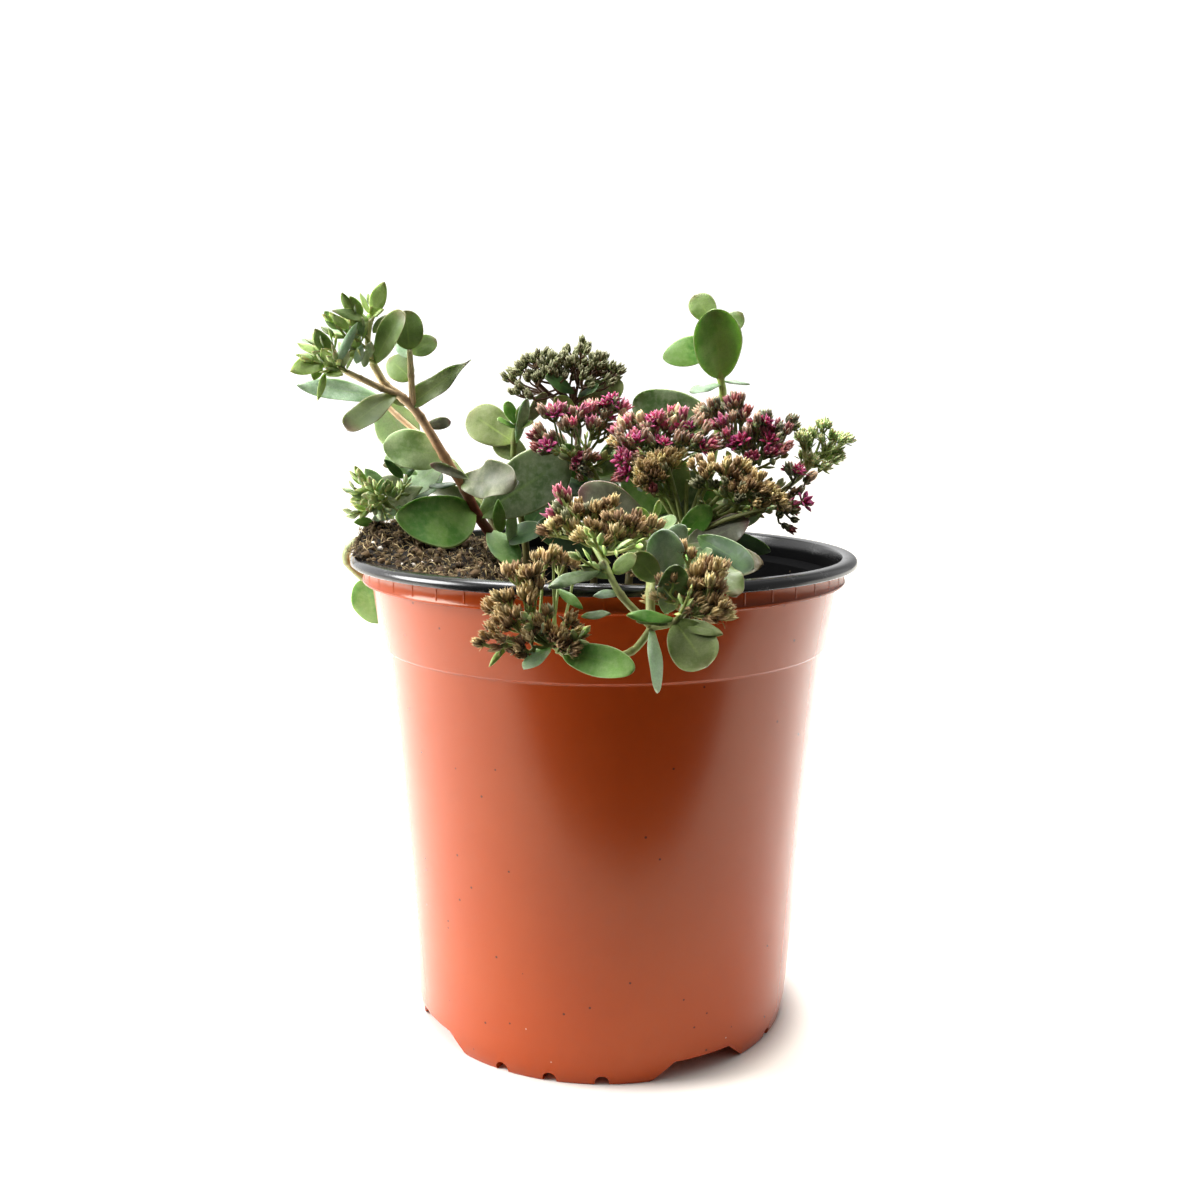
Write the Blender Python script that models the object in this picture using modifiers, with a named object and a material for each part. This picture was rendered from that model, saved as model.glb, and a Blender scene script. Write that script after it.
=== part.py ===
# Potted sedum: a nursery pot with its soil, the stems that root in it, their leaves and flower heads.
# Units: metres in the file, millimetres in the tables below. The origin is on the pot's axis, at the
# surface that it stands on. +Z is up, and -Y is the side that the plant spills over.
import math

import bmesh
import bpy
from mathutils import Matrix, Vector

MM = 0.001
GAP = 0.3                 # left between pieces that touch
STEPS = 48                # facets round the pot and the soil

# Pot: thin formed plastic with a rolled rim, a ribbed collar, one step and a raised floor
RIM_TOP = 155.7
RIM_RADIUS = 82.5
COLLAR_RADIUS = 78.4
COLLAR_FOOT = 147.2
STEP_HEIGHT = 126.4
STEP_RADIUS = 73.1
WALL = 1.1
FLOOR_TOP = 8.0
FLOOR_UNDER = 7.0
WALL_FOOT_RADIUS = 63.0
FOOT_RADIUS = 61.5
FOOT_WIDTH = 4.0
PAD_RADIUS = 14.0         # middle pad, as low as the feet
PAD_THICKNESS = 1.0

# Openings round the foot, the same in each quarter
QUARTERS = 4
FIRST_ARCH_DEGREES = 30.0
ARCH_HEIGHT = 6.0
ARCH_FOOT_WIDTH = 34.0
ARCH_TOP_WIDTH = 20.0
CUTTER_DEPTH = 14.0       # inwards through the foot ring, which is FOOT_WIDTH deep
CUTTER_BELOW = 1.7
NOTCH_FROM_ARCH = 45.0
NOTCH_DEGREES = (-15.0, 0.0, 15.0)
NOTCH_WIDTH = 4.4
NOTCH_HEIGHT = 3.0
DRAIN_RING = 40.0
DRAIN_WIDTH = 9.0
DRAIN_DEPTH = 6.0

# Soil: low on the right, banked up on the left, with a mound that stands above the rim
SOIL_LOW = 130.0
SOIL_BANK = 22.0
BANK_STARTS = -12.0
BANK_ENDS = -42.0
MOUND_HEIGHT = 12.0
MOUND_CENTRE = (-66.0, 8.0)
MOUND_SPREAD = (22.0, 34.0)
MOUND_EDGE = (66.0, 76.0) # radii between which the mound sinks towards the rim
MOUND_EDGE_LOSS = 0.7
ROOT_DEPTH = 8.0
SURFACE_RINGS = (0.0, 14.0, 26.0, 37.0, 47.0, 56.0, 64.0, 70.0, 75.0)

# Stems: each has a rooted shoot, then the side shoots that leave it. A shoot is its root (x, y), or
# nothing for a side shoot, its further points, and its radius at the low and high end.
STEMS = {
    "stem_left": {
        "main": ((-34, 12), [(-34, 12, 152), (-37, 10, 158), (-42, 6, 166), (-46, 3, 175), (-52, -2, 186),
                             (-59, -7, 199), (-64, -10, 205), (-69, -12, 209), (-73, -13, 216)], 2.0, 1.2),
        "side": (None, [(-61, -8.5, 202), (-61, -12, 212), (-61, -14, 220)], 1.1, 0.9),
        "top": (None, [(-72.5, -13, 215), (-74, -14, 222), (-73, -14, 229)], 1.0, 0.8),
        "out": (None, [(-65, -10.5, 206), (-70, -14, 208), (-76, -18, 211), (-80, -20, 213)], 1.1, 0.9),
        "behind": (None, [(-54, -3.5, 189.5), (-60, 8, 192), (-69, 11, 199), (-75, 12, 205)], 1.1, 0.8),
    },
    "stem_left_low": {"main": ((-66, 2), [(-67, 1, 166), (-70, -1, 169), (-73, -3, 173)], 1.3, 1.1)},
    "stem_over_left_rim": {
        "main": ((-68, 16), [(-71, 16, 158), (-77, 16, 160), (-83, 17, 158.5), (-86, 19, 154),
                             (-86, 21, 148), (-83.5, 23, 143)], 1.0, 0.8),
    },
    "stem_dark_head": {
        "main": ((-14, 34), [(-14, 34, 155), (-11, 32, 177), (-9, 28, 194), (-11, 26, 209)], 1.4, 1.0),
        "side": (None, [(-9.5, 29, 191), (-15, 26, 202), (-24, 25, 211)], 1.0, 0.8),
    },
    "stem_pink_left": {
        "main": ((-4, 8), [(-3, 5, 152), (-1, 2, 172), (-4, 0, 182), (-9, -2, 190)], 1.3, 1.0),
    },
    "stem_pink_right": {
        "main": ((20, -4), [(22, -9, 148), (24, -12, 162), (21, -12, 176), (17, -12, 189)], 1.6, 1.1),
        "right": (None, [(23.5, -11, 158), (36, -9, 168), (45, -6, 179), (48, -5, 190)], 1.2, 1.0),
        "front": (None, [(34, -9.5, 166.5), (40, -18, 170), (43, -23, 175)], 1.0, 0.8),
        "far": (None, [(37, -8.5, 169), (52, -4, 172), (64, 0, 180), (71, 2, 188)], 1.0, 0.8),
    },
    "stem_upright": {
        "main": ((30, 24), [(31, 28, 154), (37, 26, 181), (40, 19, 204), (39, 16, 212), (37, 16, 223),
                            (36, 17, 231)], 1.6, 1.0),
    },
    "stem_short_centre": {
        "main": ((-26, 30), [(-28, 28, 158), (-31, 24, 176), (-31, 22, 190), (-30, 20, 197)], 1.4, 1.0),
    },
    "stem_over_front_rim": {
        "main": ((19, -18), [(20, -32, 153), (16, -54, 161), (13, -78, 161), (12, -90, 156),
                             (12, -97, 146)], 1.9, 1.6),
        "up": (None, [(12, -96, 147.5), (6, -98, 153), (2, -95, 161), (0, -86, 170)], 1.3, 1.0),
        "down": (None, [(12, -96.5, 146.5), (7, -98, 141), (-1, -98, 139), (-10, -98, 140),
                        (-17, -97, 147)], 1.2, 0.9),
        "right": (None, [(12, -96.5, 147), (18, -99, 149), (23, -96, 154)], 1.2, 0.9),
    },
    "stem_back_right": {
        "main": ((8, 30), [(10, 34, 150), (14, 42, 166), (18, 52, 180), (20, 60, 192)], 1.5, 1.0),
    },
    "stem_back_left": {"main": ((-36, 38), [(-40, 42, 160), (-48, 48, 172), (-56, 54, 182)], 1.4, 1.0)},
}

# Leaves: stem, shoot, place along the shoot in points, tip, width, the way its upper side faces, and droop
LEAVES = {
    "leaf_left_large": ("stem_left", "main", 3.1, (-67, -13, 167), 17, (0.1, -0.7, 0.7), 0.10),
    "leaf_left_round": ("stem_left", "main", 4.9, (-73, 1, 189), 14, (0.0, -1.0, 0.2), 0.0),
    "leaf_left_grey": ("stem_left", "main", 4.3, (-30, -13, 180), 12, (0.0, -0.8, 0.7), 0.08),
    "leaf_left_broad": ("stem_left", "main", 3.0, (-10, 1, 181), 18, (-0.2, -0.9, 0.5), 0.0),
    "leaf_left_hanging": ("stem_left", "main", 2.4, (-30, 0, 152), 10, (0.5, -0.8, 0.1), 0.08),
    "leaf_left_oblong": ("stem_left", "main", 7.0, (-80, -23, 196), 8, (-0.2, -0.8, 0.6), 0.05),
    "leaf_left_curled": ("stem_left", "main", 6.6, (-42, -6, 215), 7, (0.0, -0.5, 0.8), -0.10),
    "leaf_left_folded": ("stem_left", "main", 8.9, (-62, -21, 230), 8, (-0.3, -0.9, 0.2), 0.0),
    "leaf_left_upper": ("stem_left", "side", 2.0, (-63, -13, 232), 10, (0.0, -1.0, 0.1), 0.0),
    "leaf_left_long": ("stem_left", "behind", 3.0, (-99, 5, 210), 8, (0.0, -0.8, 0.5), 0.05),
    "leaf_left_behind": ("stem_left", "behind", 2.9, (-67, 19, 189), 15, (-0.2, -1.0, 0.1), 0.0),
    "leaf_over_left_rim": ("stem_over_left_rim", "main", 6.0, (-80, 27, 129), 14, (-0.3, -1.0, 0.1), 0.0),
    "leaf_left_low": ("stem_left_low", "main", 1.6, (-55, 13, 180), 8, (0.0, -0.8, 0.6), 0.0),
    "leaf_upright_front": ("stem_upright", "main", 4.0, (35, 6, 234), 16, (0.0, -1.0, 0.2), 0.0),
    "leaf_upright_top": ("stem_upright", "main", 6.0, (30, 21, 240), 10, (0.0, -1.0, 0.3), 0.0),
    "leaf_upright_left": ("stem_upright", "main", 5.0, (20, 27, 219), 11, (0.0, -0.7, 0.7), 0.0),
    "leaf_upright_right": ("stem_upright", "main", 5.2, (47, 27, 234), 7, (0.3, -0.8, 0.5), 0.0),
    "leaf_upright_low": ("stem_upright", "main", 2.7, (8, 33, 205), 17, (0.0, -0.8, 0.6), 0.0),
    "leaf_centre_pale": ("stem_short_centre", "main", 3.0, (-47, 30, 200), 13, (0.0, -1.0, 0.2), 0.0),
    "leaf_centre_dark": ("stem_pink_left", "main", 2.2, (-17, 9, 180), 12, (0.0, -0.8, 0.6), 0.0),
    "leaf_front_green": ("stem_over_front_rim", "down", 2.7, (8, -109, 137), 10, (0.0, -0.9, 0.4), 0.0),
    "leaf_front_hanging": ("stem_over_front_rim", "main", 5.0, (13, -106, 131), 6, (0.3, -1.0, 0.0), 0.0),
    "leaf_front_round": ("stem_over_front_rim", "right", 1.0, (27, -105, 137), 14, (0.0, -1.0, 0.2), 0.0),
    "leaf_front_pale": ("stem_over_front_rim", "up", 1.8, (-13, -110, 161), 5, (0.0, -0.6, 0.8), 0.0),
    "leaf_right_long": ("stem_pink_right", "main", 1.7, (46, -42, 157), 10, (0.1, -0.5, 0.9), 0.05),
    "leaf_right_low": ("stem_pink_right", "right", 0.6, (58, 3, 155), 7, (0.0, -0.5, 0.9), 0.05),
    "leaf_back_right_1": ("stem_back_right", "main", 2.0, (42, 60, 174), 13, (0.2, 0.4, 0.9), 0.10),
    "leaf_back_right_2": ("stem_back_right", "main", 2.6, (-8, 62, 178), 13, (-0.2, 0.6, 0.8), 0.10),
    "leaf_back_right_3": ("stem_back_right", "main", 3.2, (38, 74, 190), 11, (0.2, 0.6, 0.8), 0.05),
    "leaf_back_left_1": ("stem_back_left", "main", 1.4, (-68, 34, 178), 12, (-0.4, 0.2, 0.9), 0.08),
    "leaf_back_left_2": ("stem_back_left", "main", 1.8, (-38, 72, 174), 12, (0.0, 0.6, 0.8), 0.10),
    "leaf_back_left_3": ("stem_back_left", "main", 3.0, (-68, 66, 192), 10, (-0.2, 0.6, 0.8), 0.0),
}

# Flower heads and young shoots: the shoots that end in them, centre and half sizes
HEADS = {
    "head_dark_back": (("stem_dark_head", "main"), ("stem_dark_head", "side"), (-14, 25, 216), (22, 17, 9)),
    "head_pink_left": (("stem_pink_left", "main"), None, (-11, -3, 194), (14, 13, 10)),
    "head_pink_centre": (("stem_pink_right", "main"), None, (17, -13, 195), (14.5, 13, 11)),
    "head_pink_right": (("stem_pink_right", "right"), None, (48, -5, 196), (16, 14, 10)),
    "head_tan_right": (("stem_pink_right", "front"), None, (44, -27, 179), (15, 9, 7)),
    "head_green_right": (("stem_pink_right", "far"), None, (73, 2, 192), (8, 8, 7)),
    "head_dried_centre": (("stem_over_front_rim", "up"), None, (-1, -79, 174), (16, 13, 9)),
    "head_dried_front_left": (("stem_over_front_rim", "down"), None, (-19, -98, 150), (14, 11, 13)),
    "head_dried_front_right": (("stem_over_front_rim", "right"), None, (25, -94, 158), (10.5, 10, 9.5)),
    "head_green_back": (("stem_back_right", "main"), None, (21, 62, 197), (13, 12, 8)),
    "buds_left_low": (("stem_left_low", "main"), None, (-75, -4, 175), (8, 8, 9)),
    "young_shoot_left": (("stem_left", "out"), None, (-86, -22, 217), (9, 8, 8)),
    "young_shoot_top": (("stem_left", "top"), None, (-73, -15, 233), (6, 6, 7)),
}

COLOURS = {
    "pot": ((0.55, 0.15, 0.07), 0.4),
    "soil": ((0.09, 0.06, 0.04), 0.9),
    "stem": ((0.30, 0.28, 0.14), 0.6),
    "leaf": ((0.14, 0.24, 0.11), 0.5),
    "pink": ((0.50, 0.08, 0.20), 0.7),
    "dried": ((0.25, 0.17, 0.09), 0.8),
    "bud": ((0.18, 0.24, 0.10), 0.7),
}
LEAF_THICKNESS = 1.3
LEAF_CELLS = (6, 2)       # along and across
LEAF_BASE_SHARE = 0.16    # width at the base, as a share of the full width
LEAF_FULLEST = 0.9        # under 1 moves the widest place outwards
LEAF_BLUNTNESS = 0.65
LEAF_CUP = 0.10
HEAD_FACETS = (12, 7)


def clear_scene():
    for obj in list(bpy.data.objects):
        bpy.data.objects.remove(obj)
    parts = bpy.data.collections.new("potted_sedum")
    cutters = bpy.data.collections.new("cutters")
    bpy.context.scene.collection.children.link(parts)
    bpy.context.scene.collection.children.link(cutters)
    return parts, cutters


PARTS, CUTTERS = clear_scene()


def material(name):
    colour, roughness = COLOURS[name]
    mat = bpy.data.materials.get(name) or bpy.data.materials.new(name)
    mat.use_nodes = True
    shader = mat.node_tree.nodes["Principled BSDF"]
    shader.inputs["Base Color"].default_value = (*colour, 1.0)
    shader.inputs["Roughness"].default_value = roughness
    return mat


def place(name, mesh, colour=None):
    """Makes the object in the parts, or in the cutters when it has no colour."""
    obj = bpy.data.objects.new(name, mesh)
    if colour:
        mesh.materials.clear()
        mesh.materials.append(material(colour))
        PARTS.objects.link(obj)
    else:
        obj.display_type = "WIRE"
        obj.hide_render = True
        CUTTERS.objects.link(obj)
    return obj


def boolean(obj, other, operation="DIFFERENCE"):
    mod = obj.modifiers.new(operation.lower(), "BOOLEAN")
    mod.operation = operation
    mod.solver = "EXACT"
    mod.object = other


def smooth_step(low, high, value):
    t = min(1.0, max(0.0, (value - low) / (high - low)))
    return t * t * (3.0 - 2.0 * t)


def evaluated_mesh(obj):
    depsgraph = bpy.context.evaluated_depsgraph_get()
    depsgraph.update()
    return bpy.data.meshes.new_from_object(obj.evaluated_get(depsgraph))


def turned(name, profile, colour=None):
    """Turns a profile of (radius, height) round Z, and welds it where it meets the axis."""
    mesh = bpy.data.meshes.new(name)
    points = [(r * MM, 0.0, z * MM) for r, z in profile]
    mesh.from_pydata(points, [(i, i + 1) for i in range(len(points) - 1)], [])
    obj = place(name, mesh, colour)
    screw = obj.modifiers.new("turn", "SCREW")
    screw.axis = "Z"
    screw.steps = screw.render_steps = STEPS
    screw.use_merge_vertices = True
    screw.merge_threshold = 0.0001
    screw.use_normal_calculate = False
    return obj


# Pot

def pot_inner_profile():
    """The inside of the pot from the middle of the floor to the top of the rim."""
    return [
        (0.0, PAD_THICKNESS), (PAD_RADIUS - 1.0, PAD_THICKNESS), (PAD_RADIUS + 1.0, FLOOR_TOP),
        (WALL_FOOT_RADIUS - WALL, FLOOR_TOP),
        (STEP_RADIUS - 1.0 - WALL, STEP_HEIGHT - 1.0), (STEP_RADIUS - WALL, STEP_HEIGHT + 0.2),
        (COLLAR_RADIUS - 2.4 - WALL, COLLAR_FOOT - 1.0), (COLLAR_RADIUS - WALL, COLLAR_FOOT + 1.0),
        (COLLAR_RADIUS - 1.0, RIM_TOP - 1.2),
    ]


def pot_outer_profile():
    """The outside of the pot from the top of the rim to the middle of its underside."""
    foot_inside = FOOT_RADIUS - FOOT_WIDTH
    return [
        (COLLAR_RADIUS, RIM_TOP), (RIM_RADIUS - 1.9, RIM_TOP - 0.5), (RIM_RADIUS - 0.4, RIM_TOP - 1.8),
        (RIM_RADIUS, RIM_TOP - 3.3), (RIM_RADIUS - 0.6, RIM_TOP - 4.6),
        (COLLAR_RADIUS + 0.4, RIM_TOP - 5.0),
        (COLLAR_RADIUS, COLLAR_FOOT + 0.4), (COLLAR_RADIUS - 0.6, COLLAR_FOOT - 0.2),
        (COLLAR_RADIUS - 2.4, COLLAR_FOOT - 0.6),
        (STEP_RADIUS, STEP_HEIGHT), (STEP_RADIUS - 1.0, STEP_HEIGHT - 0.7),
        (WALL_FOOT_RADIUS, FLOOR_TOP), (FOOT_RADIUS, 0.0), (foot_inside, 0.0),
        (foot_inside - 0.8, FLOOR_UNDER), (PAD_RADIUS + 2.0, FLOOR_UNDER), (PAD_RADIUS, 0.0), (0.0, 0.0),
    ]


def radial(obj, degrees, radius, height=0.0):
    """Stands a cutter at an angle round the pot, its own X axis pointing outwards."""
    turn = Matrix.Rotation(math.radians(degrees), 4, "Z")
    obj.matrix_world = turn @ Matrix.Translation((radius * MM, 0.0, height * MM))


def arch_cutter(name):
    bm = bmesh.new()
    bmesh.ops.create_cube(bm, size=1.0)
    for vert in bm.verts:
        spread = (ARCH_FOOT_WIDTH - ARCH_TOP_WIDTH) / ARCH_HEIGHT
        height = ARCH_HEIGHT if vert.co.z > 0 else -CUTTER_BELOW
        width = ARCH_FOOT_WIDTH - spread * height
        vert.co = Vector((vert.co.x * CUTTER_DEPTH, vert.co.y * width, height)) * MM
    mesh = bpy.data.meshes.new(name)
    bm.to_mesh(mesh)
    return place(name, mesh)


def cylinder_cutter(name, diameter, length, along_x=False):
    bm = bmesh.new()
    radius = diameter / 2 * MM
    bmesh.ops.create_cone(bm, cap_ends=True, segments=16, radius1=radius, radius2=radius, depth=length * MM)
    if along_x:
        bmesh.ops.rotate(bm, verts=bm.verts, matrix=Matrix.Rotation(math.pi / 2, 3, "Y"))
    mesh = bpy.data.meshes.new(name)
    bm.to_mesh(mesh)
    return place(name, mesh)


def make_pot():
    pot = turned("pot", pot_inner_profile() + pot_outer_profile(), "pot")
    foot_middle = FOOT_RADIUS - FOOT_WIDTH / 2
    for quarter in range(QUARTERS):
        angle = FIRST_ARCH_DEGREES + 360.0 / QUARTERS * quarter
        arch = arch_cutter(f"arch_{quarter}")
        radial(arch, angle, foot_middle)
        drain = cylinder_cutter(f"drain_{quarter}", DRAIN_WIDTH, DRAIN_DEPTH)
        radial(drain, angle, DRAIN_RING, FLOOR_TOP)
        cutters = [arch, drain]
        for i, offset in enumerate(NOTCH_DEGREES):
            notch = cylinder_cutter(f"notch_{quarter}_{i}", NOTCH_WIDTH, CUTTER_DEPTH, along_x=True)
            radial(notch, angle + NOTCH_FROM_ARCH + offset, foot_middle, NOTCH_HEIGHT - NOTCH_WIDTH / 2)
            cutters.append(notch)
        for cutter in cutters:
            boolean(pot, cutter)
    return pot


# Soil

def soil_height(x, y):
    """Height of the soil's surface at a place in the pot, in mm."""
    radius = math.hypot(x, y)
    bank = SOIL_BANK * smooth_step(BANK_STARTS, BANK_ENDS, x)
    from_x, from_y = (x - MOUND_CENTRE[0]) / MOUND_SPREAD[0], (y - MOUND_CENTRE[1]) / MOUND_SPREAD[1]
    edge = 1.0 - MOUND_EDGE_LOSS * smooth_step(*MOUND_EDGE, radius)
    return SOIL_LOW + bank + MOUND_HEIGHT * math.exp(-from_x ** 2 - from_y ** 2) * edge


def inner_radius(z):
    """Inside radius of the pot's wall at a height."""
    wall = pot_inner_profile()[3:]
    for (r0, z0), (r1, z1) in zip(wall, wall[1:]):
        if z <= z1:
            return r0 + (r1 - r0) * (z - z0) / (z1 - z0)
    return wall[-1][0]


def make_soil():
    """The surface rings and two rings on the wall start as levels above the rim. Each is then moved."""
    floor = FLOOR_TOP + GAP
    narrow, wide = COLLAR_FOOT - 1.0, COLLAR_FOOT + 1.0
    surface_level, wall_levels = 300.0, {280.0: (0.9, wide), 260.0: (0.8, narrow)}
    ledge = [(inner_radius(z) - GAP, z) for z in (STEP_HEIGHT + 0.2, STEP_HEIGHT - 1.0, floor)]
    profile = [(r, surface_level) for r in SURFACE_RINGS]
    profile += [(SURFACE_RINGS[-1], level) for level in wall_levels]
    shape = turned("soil_shape", profile + ledge + [(0.0, floor)])
    mesh = evaluated_mesh(shape)
    bpy.data.objects.remove(shape)
    for vert in mesh.vertices:
        x, y, level = (vert.co / MM)[:]
        if level < min(wall_levels) - 1.0:
            continue
        radius = math.hypot(x, y)
        height = soil_height(x, y)
        fills_collar = height > wide + 3.0
        if level < surface_level - 1.0:
            share, ledge_height = wall_levels[round(level)]
            height = ledge_height if fills_collar else STEP_HEIGHT + (height - STEP_HEIGHT) * share
        if radius > SURFACE_RINGS[-1] - 0.5:
            reach = inner_radius(height if fills_collar else min(height, narrow)) - GAP
            x, y = x * reach / radius, y * reach / radius
        vert.co = Vector((x, y, height)) * MM
    return place("soil", mesh, "soil")


# Stems

def tube(name, points, radius_low, radius_high, colour=None):
    """A tapering round shoot as a closed mesh."""
    curve = bpy.data.curves.new(name, "CURVE")
    curve.dimensions = "3D"
    curve.bevel_depth = MM
    curve.bevel_resolution = 1
    curve.use_fill_caps = True
    spline = curve.splines.new("POLY")
    spline.points.add(len(points) - 1)
    for i, point in enumerate(points):
        spline.points[i].co = (*(Vector(point) * MM), 1.0)
        spline.points[i].radius = radius_low + (radius_high - radius_low) * i / (len(points) - 1)
    guide = bpy.data.objects.new(name + "_guide", curve)
    CUTTERS.objects.link(guide)
    mesh = evaluated_mesh(guide)
    bpy.data.objects.remove(guide)
    bm = bmesh.new()
    bm.from_mesh(mesh)
    bmesh.ops.remove_doubles(bm, verts=bm.verts, dist=0.00001)
    bmesh.ops.recalc_face_normals(bm, faces=bm.faces)
    bm.to_mesh(mesh)
    bm.free()
    return place(name, mesh, colour)


def shoot_points(stem, shoot):
    root, points, _, _ = STEMS[stem][shoot]
    if root is None:
        return list(points)
    return [(*root, soil_height(*root) - ROOT_DEPTH)] + list(points)


def extended(points, start, end):
    """Lengthens a route at its ends by the given amounts."""
    first = Vector(points[0]) - (Vector(points[1]) - Vector(points[0])).normalized() * start
    last = Vector(points[-1]) + (Vector(points[-1]) - Vector(points[-2])).normalized() * end
    return [first] + [Vector(p) for p in points[1:-1]] + [last]


def make_stems():
    """Makes the stems, and a slightly thicker copy of each shoot that cuts its socket in what it meets."""
    sockets = {}
    for stem, shoots in STEMS.items():
        body = None
        for shoot, (_, _, low, high) in shoots.items():
            points = shoot_points(stem, shoot)
            name, colour = (f"{stem}_{shoot}", None) if body else (stem, "stem")
            piece = tube(name, points, low, high, colour)
            wider = extended(points, GAP, GAP)
            sockets[stem, shoot] = tube(f"{stem}_{shoot}_socket", wider, low + GAP, high + GAP)
            if body is None:
                body = piece
            else:
                boolean(body, piece, "UNION")
    return sockets


# Leaves

def leaf_shape(length, width, droop):
    """A thick blade along its own X axis, narrow where it joins the stem, cupped across."""
    bm = bmesh.new()
    bmesh.ops.create_grid(bm, x_segments=LEAF_CELLS[0], y_segments=LEAF_CELLS[1], size=0.5)
    for vert in bm.verts:
        along, across = vert.co.x + 0.5, vert.co.y * 2.0
        outline = LEAF_BASE_SHARE
        if 0.0 < along < 1.0:
            outline = max(outline, math.sin(math.pi * along ** LEAF_FULLEST) ** LEAF_BLUNTNESS)
        lift = LEAF_CUP * width * across * across * math.sin(math.pi * along) - droop * length * along * along
        vert.co = Vector((along * length, across * outline * width / 2, lift)) * MM
    mesh = bpy.data.meshes.new("leaf_blade")
    bm.to_mesh(mesh)
    return mesh


def point_on_shoot(stem, shoot, at):
    points = shoot_points(stem, shoot)
    low = min(int(at), len(points) - 2)
    return Vector(points[low]).lerp(Vector(points[low + 1]), at - low)


def make_leaf(name, sockets, stem, shoot, at, tip, width, facing, droop):
    base = point_on_shoot(stem, shoot, at)
    along = (Vector(tip) - base).normalized()
    normal = Vector(facing)
    normal = (normal - along * normal.dot(along)).normalized()
    leaf = place(name, leaf_shape((Vector(tip) - base).length, width, droop), "leaf")
    leaf.matrix_world = Matrix((along, normal.cross(along), normal)).transposed().to_4x4()
    leaf.matrix_world.translation = base * MM
    shell = leaf.modifiers.new("thickness", "SOLIDIFY")
    shell.thickness = LEAF_THICKNESS * MM
    shell.offset = 0.0
    shell.use_even_offset = True
    for each in STEMS[stem]:
        boolean(leaf, sockets[stem, each])
    return leaf


# Flower heads

def head_colour(name):
    if "pink" in name:
        return "pink"
    return "dried" if "dried" in name or "tan" in name or "dark" in name else "bud"


def make_head(name, sockets, first, second, centre, half_sizes):
    bm = bmesh.new()
    bmesh.ops.create_uvsphere(bm, u_segments=HEAD_FACETS[0], v_segments=HEAD_FACETS[1], radius=1.0)
    bmesh.ops.scale(bm, verts=bm.verts, vec=Vector(half_sizes) * MM)
    mesh = bpy.data.meshes.new(name)
    bm.to_mesh(mesh)
    head = place(name, mesh, head_colour(name))
    head.location = Vector(centre) * MM
    for shoot in (first, second):
        if shoot:
            boolean(head, sockets[shoot])
    return head


def main():
    make_pot()
    soil = make_soil()
    sockets = make_stems()
    for stem in STEMS:
        boolean(soil, sockets[stem, "main"])
    for name, leaf in LEAVES.items():
        make_leaf(name, sockets, *leaf)
    for name, head in HEADS.items():
        make_head(name, sockets, *head)
    bpy.context.view_layer.update()


main()
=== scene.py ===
import math
import random

import bmesh
import bpy
from mathutils import Matrix, Vector, noise


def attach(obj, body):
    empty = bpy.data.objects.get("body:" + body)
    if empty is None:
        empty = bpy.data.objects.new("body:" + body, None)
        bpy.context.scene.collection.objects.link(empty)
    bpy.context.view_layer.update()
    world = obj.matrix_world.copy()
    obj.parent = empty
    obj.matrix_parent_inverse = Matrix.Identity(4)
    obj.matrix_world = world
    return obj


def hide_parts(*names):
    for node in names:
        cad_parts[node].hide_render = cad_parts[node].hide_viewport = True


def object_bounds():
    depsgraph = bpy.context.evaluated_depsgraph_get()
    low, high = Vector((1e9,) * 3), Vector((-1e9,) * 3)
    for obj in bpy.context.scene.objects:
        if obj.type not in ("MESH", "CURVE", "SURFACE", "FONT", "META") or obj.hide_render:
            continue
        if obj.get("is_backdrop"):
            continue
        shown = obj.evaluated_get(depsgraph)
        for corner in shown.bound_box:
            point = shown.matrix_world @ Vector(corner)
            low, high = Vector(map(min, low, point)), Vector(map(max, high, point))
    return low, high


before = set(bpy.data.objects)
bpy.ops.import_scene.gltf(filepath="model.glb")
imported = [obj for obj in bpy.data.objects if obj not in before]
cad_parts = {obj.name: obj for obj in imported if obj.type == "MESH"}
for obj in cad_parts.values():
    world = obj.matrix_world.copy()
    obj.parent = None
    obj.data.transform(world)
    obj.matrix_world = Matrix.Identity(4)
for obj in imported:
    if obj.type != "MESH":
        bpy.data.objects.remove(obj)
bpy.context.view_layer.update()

# Lengths in the dictionaries are millimetres, and colours are 0 to 255 as seen on a screen
mm = 0.001
goldenAngle = math.radians(137.508)

# Shared small helpers


def tone(red, green, blue):
    # screen colour to the linear values that shaders take
    def linear(value):
        value /= 255.0
        return value / 12.92 if value < 0.04045 else ((value + 0.055) / 1.055) ** 2.4
    return (linear(red), linear(green), linear(blue), 1.0)


def tones(*colours):
    return tuple(tone(*colour) for colour in colours)


def mixed(first, second, share):
    return tuple(a + (b - a) * share for a, b in zip(first, second))


def up(height):
    return Vector((0.0, 0.0, height))


def smoothStep(low, high, value):
    t = min(1.0, max(0.0, (value - low) / (high - low)))
    return t * t * (3.0 - 2.0 * t)


def addObject(name, data, material=None):
    obj = bpy.data.objects.new(name, data)
    bpy.context.scene.collection.objects.link(obj)
    if material:
        data.materials.clear()
        data.materials.append(material)
    return obj


def finishPiece(obj, slot, *nodes):
    obj.data.shade_smooth()
    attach(obj, "root")
    if nodes:
        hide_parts(*nodes)
    return obj


def meshFrom(bm, name):
    mesh = bpy.data.meshes.new(name)
    bm.to_mesh(mesh)
    bm.free()
    return mesh


def joinRings(bm, rings):
    # sides between rings of points, each ring closed on itself
    for first, second in zip(rings, rings[1:]):
        for k in range(len(first)):
            after = (k + 1) % len(first)
            bm.faces.new((first[k], first[after], second[after], second[k]))


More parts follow.
